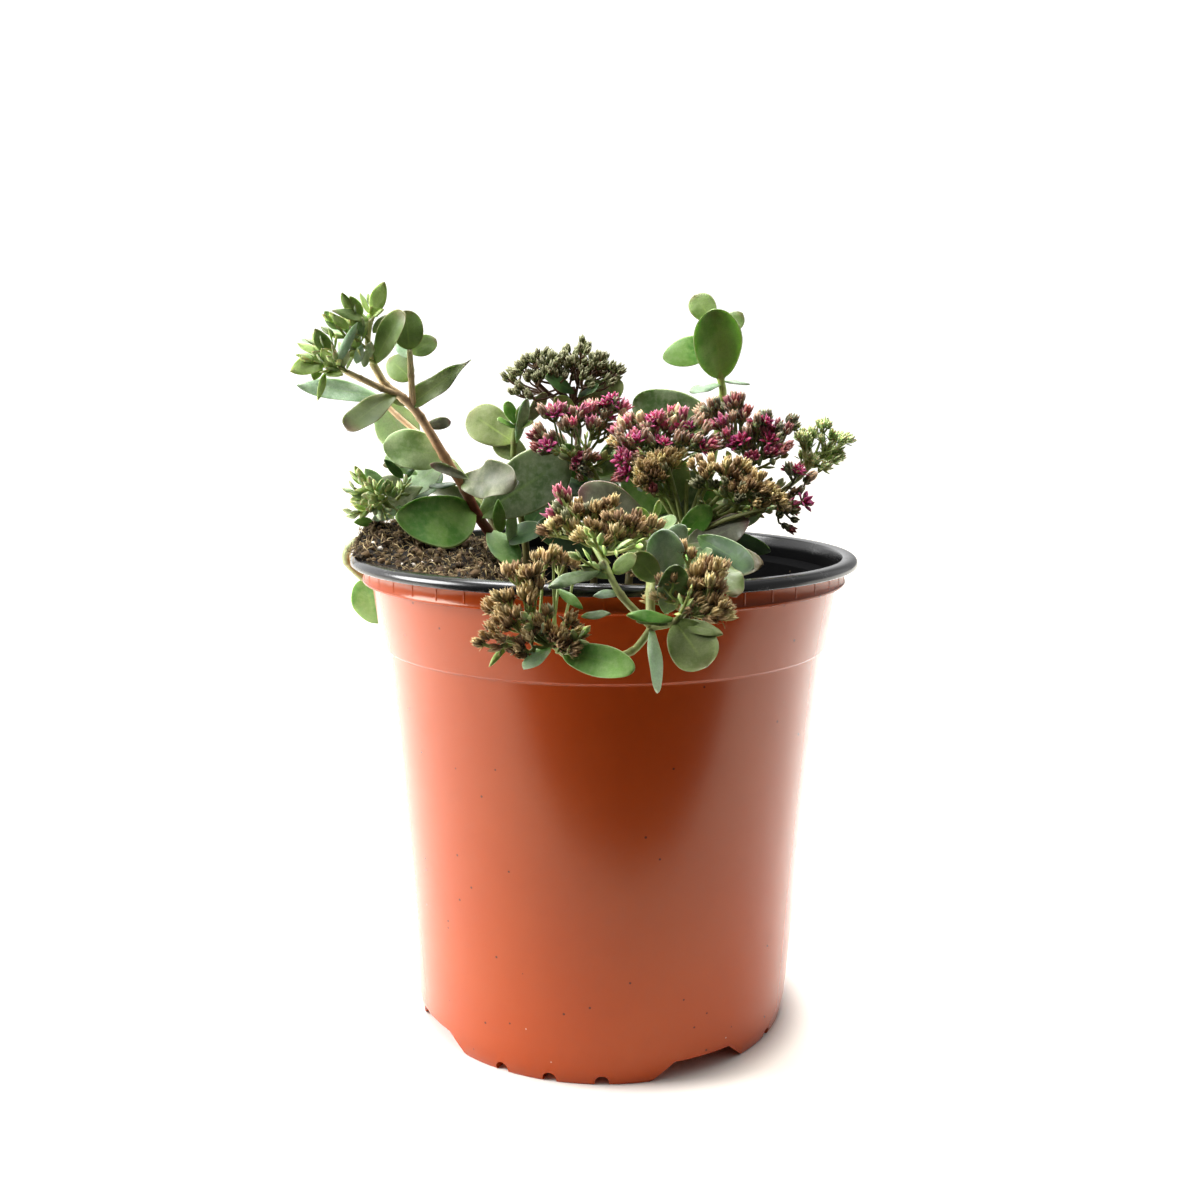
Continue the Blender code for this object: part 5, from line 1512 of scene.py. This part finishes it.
heads = {
    # bunches on the near side: place, spread of the bunch and a letter for each floret in it
    "head_dark_back": dict(
        root=(-10.5, 26.5, 203), middleY=26, back=0.75, forks=6, stalk=(78, 54, 38), slot="dried_flower",
        bunches=[
            (-34, 22, 213, 1.4, "O"), (-30, 18, 208, 1.7, "OO"), (-26, 18, 207, 1.7, "OO"),
            (-30, 25, 216, 2.7, "OOO"), (-25, 27, 219, 3.1, "OOOO"), (-24, 23, 213, 2.7, "OOO"),
            (-18, 25, 219, 3.1, "OOOO"), (-16, 22, 214, 3.1, "OOO"), (-10, 31, 223, 2.4, "OO"),
            (-6, 30, 224, 2.4, "OO"), (-11, 27, 218, 3.8, "OOOOO"), (-5, 23, 217, 3.7, "OOWOO"),
            (0, 24, 217, 3.4, "OOOO"), (5, 22, 216, 2.4, "OOO"), (2, 21, 212, 2.4, "OO"),
            (-5, 21, 212, 2.7, "OOO"), (-20, 21, 216, 2.7, "OOO"), (-13, 27, 221, 2.4, "OO"),
            (-2, 26, 220, 2.7, "OOO")]),
    "head_pink_left": dict(
        root=(-8, -1.8, 185), middleY=0, back=0.7, forks=5, stalk=(92, 108, 54), slot="pink_flower",
        bunches=[
            (-16, 1, 201, 2.6, "MDOR"), (-9, 0, 201, 2.6, "MDRO"), (-4, -4, 198, 1.9, "RD"),
            (0, 0, 201, 2.3, "MDO"), (5, -1, 204, 2.3, "MRO"), (-22, -3, 194, 1.9, "WDD"),
            (-20, -7, 190, 1.9, "MWO"), (-18, -6, 193, 1.6, "DD"), (7, 0, 200, 2.0, "MD"),
            (-12, -4, 197, 1.9, "DRO"), (-5, -2, 202, 1.9, "RD"), (0, -1, 197, 2.0, "DO"),
            (-9, -6, 185, 1.9, "RWO"), (-4, -7, 187, 2.2, "DRO"), (-6, -7, 182, 2.3, "OOK")]),
    "head_pink_centre": dict(
        root=(18, -12, 184), middleY=-9, back=0.7, forks=5, stalk=(92, 108, 54), slot="pink_flower",
        bunches=[
            (6, -11, 197, 1.9, "BR"), (11, -10, 199, 1.9, "BD"), (10, -15, 193, 2.5, "MDR"),
            (17, -9, 200, 2.2, "MRD"), (17, -13, 192, 2.5, "MOD"), (23, -8, 201, 1.9, "BR"),
            (22, -10, 197, 2.5, "RDDB"), (27, -12, 198, 2.5, "MDO"), (30, -14, 192, 2.5, "MOD"),
            (4, -15, 192, 2.2, "SDD"), (7, -16, 191, 1.9, "DR"), (5, -18, 187, 2.2, "MR"),
            (11, -17, 188, 2.2, "RD"), (6, -18, 182, 1.9, "MW"), (32, -14, 197, 1.9, "RD"),
            (14, -11, 196, 2.2, "DRB"), (25, -14, 193, 2.2, "DRO"), (34, -15, 192, 1.9, "DR")]),
    "head_pink_right": dict(
        root=(47.5, -5, 184), middleY=-1, back=0.7, forks=5, stalk=(92, 104, 54), slot="pink_flower",
        bunches=[
            (32, -3, 202, 1.9, "DDO"), (36, -3, 204, 1.9, "OO"), (38, -6, 198, 2.6, "RDO"),
            (42, -3, 205, 2.3, "WDO"), (44, -3, 201, 2.6, "WRDO"), (43, -10, 193, 2.5, "MDO"),
            (46, -7, 191, 2.2, "RO"), (49, -8, 199, 2.6, "MWD"), (52, -4, 201, 1.9, "OO"),
            (54, -7, 193, 2.6, "MDW"), (56, -8, 198, 2.2, "WO"), (59, -6, 196, 1.9, "WO"),
            (60, -5, 200, 1.9, "OO"), (54, -10, 189, 1.9, "RD"), (58, -11, 190, 1.9, "WW"),
            (46, -13, 187, 1.9, "RD"), (41, -3, 207, 1.6, "O"), (47, -6, 195, 2.3, "DRW"),
            (39, -9, 194, 1.9, "RD"), (51, -6, 195, 2.2, "DWR")]),
    "head_tan_right": dict(
        root=(42, -21, 173), middleY=-22, back=0.35, forks=5, stalk=(104, 118, 58), slot="dried_flower",
        bunches=[
            (27, -23, 186, 2.2, "HHD"), (31, -25, 185, 2.2, "HKS"), (36, -24, 185, 2.2, "HHS"),
            (39, -23, 183, 2.2, "DHK"), (43, -21, 185, 2.2, "HSK"), (47, -25, 183, 2.5, "HHK"),
            (29, -27, 181, 1.8, "OKO"), (33, -24, 180, 1.9, "OO"), (40, -26, 179, 2.2, "KHO"),
            (47, -27, 179, 2.2, "HKH"), (51, -28, 178, 2.1, "HHK"), (54, -28, 176, 2.1, "HKS"),
            (50, -28, 174, 1.8, "HK"), (44, -25, 181, 2.2, "HKH"), (37, -26, 181, 1.8, "KO"),
            (42, -30, 176, 1.5, "OK"), (47, -28, 175, 1.5, "OH")]),
    "head_green_right": dict(
        root=(66, 1, 184), middleY=2, back=0.3, forks=5, stalk=(148, 164, 94), slot="green_bud",
        bunches=[
            (65, 4, 195, 1.3, "GG"), (69, 4, 195, 1.3, "GG"), (72, 2, 198, 1.6, "GGG"),
            (76, 4, 194, 1.6, "GGG"), (79, 0, 193, 1.3, "GG"), (71, 1, 193, 1.3, "GG"),
            (74, 2, 190, 1.3, "GG"), (78, 2, 188, 1.3, "GG"), (73, -2, 184, 1.3, "GG"),
            (67, 3, 191, 1.3, "GG"), (68, 0, 187, 1.3, "GG"), (70, -1, 186, 1.3, "G"),
            (76, -1, 186, 1.3, "G")]),
    "head_dried_centre": dict(
        root=(0.5, -88, 165), middleY=-77, back=0.6, forks=5, stalk=(118, 132, 66), slot="dried_flower",
        bunches=[
            (-12, -77, 180, 1.2, "RR"), (-15, -81, 172, 1.9, "SHK"), (-12, -81, 174, 1.9, "SKO"),
            (-8, -79, 176, 2.1, "KSO"), (-5, -76, 176, 2.2, "HOO"), (1, -76, 178, 1.9, "KKH"),
            (-1, -77, 175, 2.2, "KKS"), (2, -81, 174, 2.1, "KHK"), (3, -83, 171, 2.1, "SHK"),
            (7, -80, 173, 2.1, "KKH"), (10, -82, 172, 1.9, "KKS"), (13, -82, 173, 1.9, "HK"),
            (0, -85, 169, 1.6, "KK"), (-7, -85, 170, 1.6, "SS"), (-3, -82, 173, 1.9, "KHO"),
            (-9, -80, 172, 1.9, "KSO"), (5, -82, 170, 1.9, "KKH"), (-13, -78, 176, 1.6, "SOR"),
            (9, -80, 175, 1.3, "KH")]),
    "head_dried_front_left": dict(
        root=(-14, -97.5, 142.5), middleY=-96, back=0.2, forks=6, stalk=(134, 148, 82), slot="dried_flower",
        bunches=[
            (-16, -91, 165, 2.1, "HSH"), (-12, -89, 164, 2.1, "HKH"), (-8, -89, 163, 1.8, "HK"),
            (-13, -91, 167, 1.8, "SH"), (-23, -96, 162, 2.1, "HKH"), (-19, -98, 162, 2.0, "HSK"),
            (-26, -98, 156, 1.8, "SHH"), (-21, -97, 158, 2.1, "HHK"), (-18, -97, 159, 2.1, "HKS"),
            (-19, -99, 156, 2.0, "HHS"), (-30, -97, 153, 1.5, "HK"), (-27, -99, 151, 1.8, "HHK"),
            (-23, -99, 152, 2.0, "HKS"), (-29, -103, 148, 1.8, "KHK"), (-32, -102, 144, 1.3, "HK"),
            (-27, -103, 145, 1.8, "KH"), (-18, -100, 150, 1.8, "KHK"), (-20, -101, 147, 1.8, "HSK"),
            (-16, -100, 148, 1.8, "HKO"), (-23, -102, 144, 1.8, "KKH"), (-22, -102, 141, 1.5, "KK"),
            (-12, -102, 147, 1.8, "HKH"), (-8, -100, 151, 1.5, "KH"), (-6, -100, 147, 1.5, "HKH"),
            (-10, -101, 144, 1.8, "KHK"), (-7, -103, 143, 1.3, "HK"), (-25, -99, 149, 1.8, "HKH"),
            (-15, -98, 152, 1.5, "HO")]),
    "head_dried_front_right": dict(
        root=(22, -96.5, 152.5), middleY=-92, back=0.5, forks=5, stalk=(124, 140, 76), slot="dried_flower",
        bunches=[
            (22, -91, 167, 1.6, "HK"), (24, -92, 161, 1.8, "HKH"), (28, -91, 163, 2.1, "HSK"),
            (30, -94, 162, 1.8, "SHH"), (23, -95, 159, 1.8, "KHH"), (27, -96, 159, 2.1, "HKS"),
            (30, -94, 158, 1.8, "HHK"), (27, -95, 155, 2.1, "HKH"), (30, -97, 154, 1.8, "HKH"),
            (32, -97, 151, 1.5, "SHK"), (27, -97, 151, 1.8, "HKS"), (20, -97, 152, 1.8, "KKH"),
            (16, -96, 160, 1.5, "KH"), (14, -95, 156, 1.5, "SH"), (24, -96, 155, 1.5, "KH"),
            (19, -95, 156, 1.3, "K"), (30, -99, 151, 1.5, "HK")]),
    "sprigRightLow": dict(
        root=(54, -3, 174), middleY=-5, back=0.4, forks=3, stalk=(98, 98, 54), slot="pink_flower",
        bunches=[
            (62, -5, 183, 2.3, "MWO"), (67, -6, 180, 1.6, "B"), (65, -9, 173, 1.6, "M"),
            (57, -10, 170, 1.9, "BO"), (62, -9, 169, 1.9, "OO"), (60, -9, 164, 1.9, "WO"),
            (62, -9, 177, 1.9, "KO"), (59, -7, 174, 1.6, "HO")]),
    "sprigCentreLow": dict(
        root=(22, -13, 173), middleY=-18, back=0.5, forks=4, stalk=(108, 120, 60), slot="dried_flower",
        bunches=[
            (13, -21, 186, 2.2, "HSH"), (17, -19, 188, 2.2, "HSS"), (22, -17, 189, 2.2, "SSH"),
            (11, -23, 183, 2.2, "SHH"), (16, -19, 184, 2.2, "HHS"), (20, -18, 186, 1.9, "HS"),
            (10, -22, 180, 1.9, "HK"), (14, -22, 178, 1.9, "KW"), (18, -23, 182, 1.9, "KO"),
            (13, -22, 181, 1.9, "HK")]),
    "sprigInnerFront": dict(
        root=(15, -58, 160), middleY=-60, back=0.5, forks=2, stalk=(112, 128, 66), slot="dried_flower",
        bunches=[
            (9, -61, 161, 2.3, "KKHK"), (6, -64, 160, 2.0, "KH"), (11, -65, 159, 1.7, "KK"),
            (8, -63, 158, 1.7, "HK")]),
}
backDome = dict(centre=(21, 62, 197), half=(13, 12, 8), bunches=17)
slotFinish = {"pink_flower": "pink", "dried_flower": "dried", "green_bud": "bud"}


def pointsMesh(name, rows):
    # each row: place, aim, spin, size, kind, tint
    mesh = bpy.data.meshes.new(name)
    mesh.from_pydata([row[0] * mm for row in rows], [], [])
    kinds = {"aim": "FLOAT_VECTOR", "spin": "FLOAT", "size": "FLOAT", "kind": "INT", "tint": "FLOAT"}
    for column, (label, kind) in enumerate(kinds.items(), 1):
        layer = mesh.attributes.new(label, kind, "POINT")
        for point, row in zip(layer.data, rows):
            setattr(point, "vector" if kind == "FLOAT_VECTOR" else "value", row[column])
    return mesh


def stalksMesh(name, lines):
    # each line: points, thickness at both ends, colour
    mesh = bpy.data.meshes.new(name)
    places, edges, widths, colours = [], [], [], []
    for points, thick, thin, colour in lines:
        start = len(places)
        for i, point in enumerate(points):
            share = i / (len(points) - 1)
            places.append(point * mm)
            widths.append((thick + (thin - thick) * share) * mm)
            colours.append(colour)
            if i:
                edges.append((start + i - 1, start + i))
    mesh.from_pydata(places, edges, [])
    width = mesh.attributes.new("thickness", "FLOAT", "POINT")
    paint = mesh.attributes.new("tone", "FLOAT_COLOR", "POINT")
    for i in range(len(places)):
        width.data[i].value = widths[i]
        paint.data[i].color = colours[i]
    return mesh


def makeStalks(name, lines):
    source = addObject(name + "Lines", stalksMesh(name + "Lines", lines))
    finishPiece(runTree(source, "branch", name, Sides=5, Finish=finishes["stem"]), "stem")


def makeCopies(name, rows, piece, shapes, slot, *nodes):
    source = addObject(name + "Points", pointsMesh(name + "Points", rows))
    copies = runTree(source, "points", piece, Shapes=shapes, Size=1.0, Finish=finishes[slotFinish[slot]])
    finishPiece(copies, slot, *nodes)


def domeBunches(look):
    # bunches spread evenly over a dome, for the head that the photo does not show
    rows = []
    centre, half = Vector(look["centre"]), Vector(look["half"])
    for i in range(look["bunches"]):
        height = 1.0 - (i + 0.5) / look["bunches"]
        ring, angle = math.sqrt(1.0 - height * height), i * goldenAngle
        way = Vector((ring * math.cos(angle), ring * math.sin(angle), height))
        place = centre + Vector(way[k] * (half[k] - 3.0) for k in range(3))
        rows.append((*place, 2.4, "GOO" if i % 2 else "OOG"))
    return rows


# thickness at both ends of each kind of stalk, and how far the florets stand from where their stalks meet
headMesh = {"limb": (0.62, 0.48), "branch": (0.46, 0.36), "stalk": (0.38, 0.34), "brown": (112, 92, 60),
            "brownShare": 0.45, "stalkLength": 4.4, "floretLength": 1.9}


def headPlan(look, seed):
    # florets in bunches, on stalks that fork twice on their way from the shoot's end
    rng = random.Random(seed)
    root = Vector(look["root"])
    bunches = list(look["bunches"])
    for x, y, z, spread, letters in look["bunches"]:
        if rng.random() < look["back"]:
            bunches.append((x + rng.uniform(-2.5, 2.5), 2 * look["middleY"] - y + rng.uniform(-1, 3),
                            z + rng.uniform(-2.5, 1), spread, letters[::-1]))
    order = sorted(range(len(bunches)), key=lambda i: math.atan2(bunches[i][1] - look["middleY"],
                                                                 bunches[i][0] - root.x))
    rows, lines = [], []
    stalk = tone(*look["stalk"])
    perFork = math.ceil(len(order) / (2 * look["forks"]))
    for first in range(0, len(order), perFork):
        group = [bunches[i] for i in order[first:first + perFork]]
        mean = sum((Vector(b[:3]) for b in group), Vector()) / len(group)
        fork = root.lerp(mean, 0.5) - up(0.8)
        lines.append((smoothPath([root, root.lerp(fork, 0.5) - up(0.5), fork], 3), *headMesh["limb"], stalk))
        for x, y, z, spread, letters in group:
            place = Vector((x, y, z))
            aim = (place - fork).normalized() * 0.8 + up(0.45)
            aim = (aim + Vector([rng.gauss(0, stray) for stray in (0.15, 0.15, 0.08)])).normalized()
            letters = letters + letters[:(len(letters) + rng.randrange(2)) // 3]
            base = place - aim * headMesh["stalkLength"]
            middle = fork.lerp(base, 0.5) - up(0.5)
            lines.append((smoothPath([fork, middle, base], 3), *headMesh["branch"], stalk))
            side = aim.orthogonal().normalized()
            other = aim.cross(side)
            turn = rng.uniform(0, math.tau)
            for i, letter in enumerate(letters):
                angle = turn + math.tau * i / len(letters)
                reach = spread * (0.3 if i == 0 else rng.uniform(0.85, 1.45))
                out = (side * math.cos(angle) + other * math.sin(angle)) * reach
                strayed = Vector((rng.gauss(0, 0.12), rng.gauss(0, 0.12), 0))
                own = (aim + out * 0.15 + Vector((0.0, -0.12, 0.0)) + strayed).normalized()
                foot = place + out - own * (headMesh["floretLength"] + rng.uniform(-0.8, 0.8))
                kind = list(flowerKinds).index(letter) * flowerForms + rng.randrange(flowerForms)
                size = rng.uniform(0.84, 1.14) * flowerSizes.get(letter, 1.0)
                rows.append((foot, own, rng.uniform(0, math.tau), size, kind, rng.uniform(-1, 1)))
                colour = mixed(stalk, tone(*headMesh["brown"]), rng.random() * headMesh["brownShare"])
                path = smoothPath([base, base.lerp(foot, 0.5) + out * 0.12, foot + own * 0.3], 2)
                lines.append((path, *headMesh["stalk"], colour))
    return rows, lines


def makeHeads():
    plans = dict(heads)
    plans["head_green_back"] = dict(root=(19.8, 59, 190), middleY=62, back=0.0, forks=4, stalk=(92, 104, 54),
                                    slot="dried_flower", bunches=domeBunches(backDome))
    for seed, (name, look) in enumerate(plans.items()):
        rows, lines = headPlan(look, 40 + seed)
        nodes = (name,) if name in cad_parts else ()
        makeCopies(name, rows, name + "_florets", flowerShapes, look["slot"], *nodes)
        makeStalks(name + "_stalks", lines)


makeHeads()
print("heads ready")

# Bare flower stalks that fan out under the pink and tan heads

stalkFan = {"from": (26, -13, 161), "widths": (0.85, 0.6), "colour": (122, 134, 76), "brown": (104, 92, 58),
            "to": [(17, -17, 179), (20, -19, 184), (26, -18, 180), (31, -20, 180), (34, -22, 183),
                   (38, -22, 178), (44, -24, 177), (50, -27, 172), (13, -15, 181), (46, -12, 184),
                   (54, -8, 180), (60, -9, 172)]}


def makeStalkFan():
    start, lines = Vector(stalkFan["from"]), []
    for index, end in enumerate(stalkFan["to"]):
        end = Vector(end)
        middle = start.lerp(end, 0.5) + up(1.5 - 0.4 * (index % 3))
        colour = mixed(tone(*stalkFan["colour"]), tone(*stalkFan["brown"]), 0.15 * (index % 4))
        lines.append((smoothPath([start, middle, end], 4), *stalkFan["widths"], colour))
    makeStalks("stalkFan", lines)


makeStalkFan()

# Tiny leaves and buds in crossed pairs up short axes


def leafletShape(name, tones, width, lean):
    # one unit long, so that a copy's size is its length in millimetres
    bm = bmesh.new()
    bm.verts.layers.float_color.new("tone")
    addLobe(bm, tones, 1.0, width, 0.2, lean, 16, fullest=0.5)
    bmesh.ops.subdivide_edges(bm, edges=bm.edges, cuts=1, smooth=0.6, use_grid_fill=True)
    bmesh.ops.recalc_face_normals(bm, faces=bm.faces)
    return meshFrom(bm, name)


leafletShapes = shapeSet("leaflet", [
    leafletShape("fresh", tones((128, 158, 74), (152, 178, 94), (172, 176, 114)), 0.5, 0),
    leafletShape("deep", tones((108, 136, 70), (146, 168, 102), (162, 164, 114)), 0.56, 0),
    leafletShape("mid", tones((106, 126, 78), (142, 158, 108), (162, 164, 124)), 0.58, 0),
    leafletShape("bluish", tones((112, 132, 90), (144, 162, 118), (164, 170, 134)), 0.54, 0)])
rosettes = {
    # weights of the four shapes, then base, tip, leaf length and pairs of every axis
    "tuftTop": ((3, 2, 1, 0), [
        ((-73, -14, 228), (-71, -13, 234), 4.0, 3), ((-73, -14, 227), (-77, -12, 232), 4.0, 3)]),
    "tuftMiddle": ((3, 1, 1, 3), [
        ((-74, -15, 220), (-79, -19, 226), 6.2, 4), ((-75, -16, 218), (-83, -20, 228), 6.0, 4),
        ((-73, -14, 221), (-77, -18, 230), 6.0, 4), ((-72, -14, 216), (-77, -19, 220), 6.0, 3)]),
    "tuftLeft": ((3, 2, 1, 1), [
        ((-80, -20, 213), (-89, -24, 216), 6.2, 3), ((-80, -20, 213), (-88, -21, 221), 6.2, 4),
        ((-80, -20, 213), (-84, -21, 222), 6.2, 4), ((-80, -20, 213), (-82, -25, 216), 5.6, 3),
        ((-82, -21, 215), (-78, -16, 221), 5.8, 3), ((-80, -20, 213), (-86, -14, 218), 6.2, 3)]),
    "tuftLow": ((1, 3, 3, 1), [
        ((-73, -3, 171), (-81, -5, 175), 5.6, 4), ((-73, -3, 171), (-79, -7, 179), 5.6, 4),
        ((-73, -3, 171), (-74, -9, 177), 5.6, 4), ((-73, -3, 171), (-69, -7, 175), 5.6, 4),
        ((-73, -3, 170), (-81, -7, 168), 5.4, 4), ((-73, -3, 170), (-74, -10, 170), 5.4, 4),
        ((-73, -3, 170), (-70, -8, 168), 5.2, 3), ((-73, -3, 171), (-77, 3, 178), 5.6, 4),
        ((-73, -3, 171), (-80, -1, 171), 5.6, 4), ((-68, -1, 172), (-65, -2, 177), 4.6, 3)]),
    "tuftPink": ((1, 3, 3, 1), [
        ((-7, -1, 183), (-12, -8, 188), 5.0, 3), ((-6, -1, 182), (2, -6, 187), 5.0, 3),
        ((-8, -2, 184), (-17, -7, 189), 4.5, 3), ((-6, -1, 184), (-6, -8, 192), 4.5, 3),
        ((18, -12, 183), (12, -18, 188), 5.0, 3), ((18, -12, 182), (27, -17, 187), 5.0, 3),
        ((46, -6, 180), (40, -12, 186), 5.0, 3), ((47, -5, 182), (56, -10, 187), 5.0, 3),
        ((36, -9, 168), (31, -18, 173), 5.5, 3), ((40, -18, 170), (50, -24, 171), 5.0, 3),
        ((42, -20, 172), (36, -27, 176), 5.0, 3), ((52, -4, 172), (56, -9, 177), 5.0, 3)]),
    "tuftFront": ((3, 2, 1, 1), [
        ((2, -95, 160), (-6, -99, 165), 5.0, 3), ((0, -88, 165), (8, -93, 168), 5.0, 3),
        ((-10, -98, 140), (-6, -103, 146), 5.0, 3), ((-15, -97, 144), (-19, -103, 150), 5.0, 3),
        ((18, -99, 149), (21, -103, 156), 5.0, 3), ((1, -92, 163), (-3, -95, 170), 5.0, 3),
        ((12, -70, 161), (6, -76, 168), 5.0, 3), ((16, -58, 160), (21, -64, 168), 5.0, 3)]),
}


# widths and colour of the axes, how many degrees a pair at the foot opens, and how much less one at the tip
tuft = {"widths": (0.6, 0.4), "colour": (132, 138, 74), "opensLow": 70, "closesBy": 54}


def makeRosettes():
    for seed, (name, (weights, axes)) in enumerate(rosettes.items()):
        rng = random.Random(300 + seed)
        rows, lines = [], []
        for base, tip, size, pairs in axes:
            base, tip = Vector(base), Vector(tip)
            way = (tip - base).normalized()
            side = way.orthogonal().normalized()
            other = way.cross(side)
            path = smoothPath([base, base.lerp(tip, 0.5) - up(0.6), tip], 3)
            lines.append((path, *tuft["widths"], tone(*tuft["colour"])))
            start = rng.uniform(0, math.tau)
            for pair in range(pairs):
                share = 0.35 + 0.65 * pair / max(1, pairs - 1)
                opening = math.radians(tuft["opensLow"] - tuft["closesBy"] * share + rng.uniform(-8, 8))
                for half in (0, 1):
                    angle = start + pair * math.pi / 2 + half * math.pi + rng.uniform(-0.25, 0.25)
                    out = side * math.cos(angle) + other * math.sin(angle)
                    aim = (way * math.cos(opening) + out * math.sin(opening) + up(0.12)).normalized()
                    length = size * (1.12 - 0.42 * share) * rng.uniform(0.85, 1.12)
                    rows.append((base.lerp(tip, share) + out * 0.4, aim, rng.uniform(0, math.tau), length,
                                 rng.choices(range(4), weights)[0], rng.uniform(-1, 1)))
        makeCopies(name, rows, name + "_leaves", leafletShapes, "green_bud")
        makeStalks(name + "_stalks", lines)


makeRosettes()
print("tufts ready")

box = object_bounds()
print("box", [round(v / mm, 1) for corner in box for v in corner])
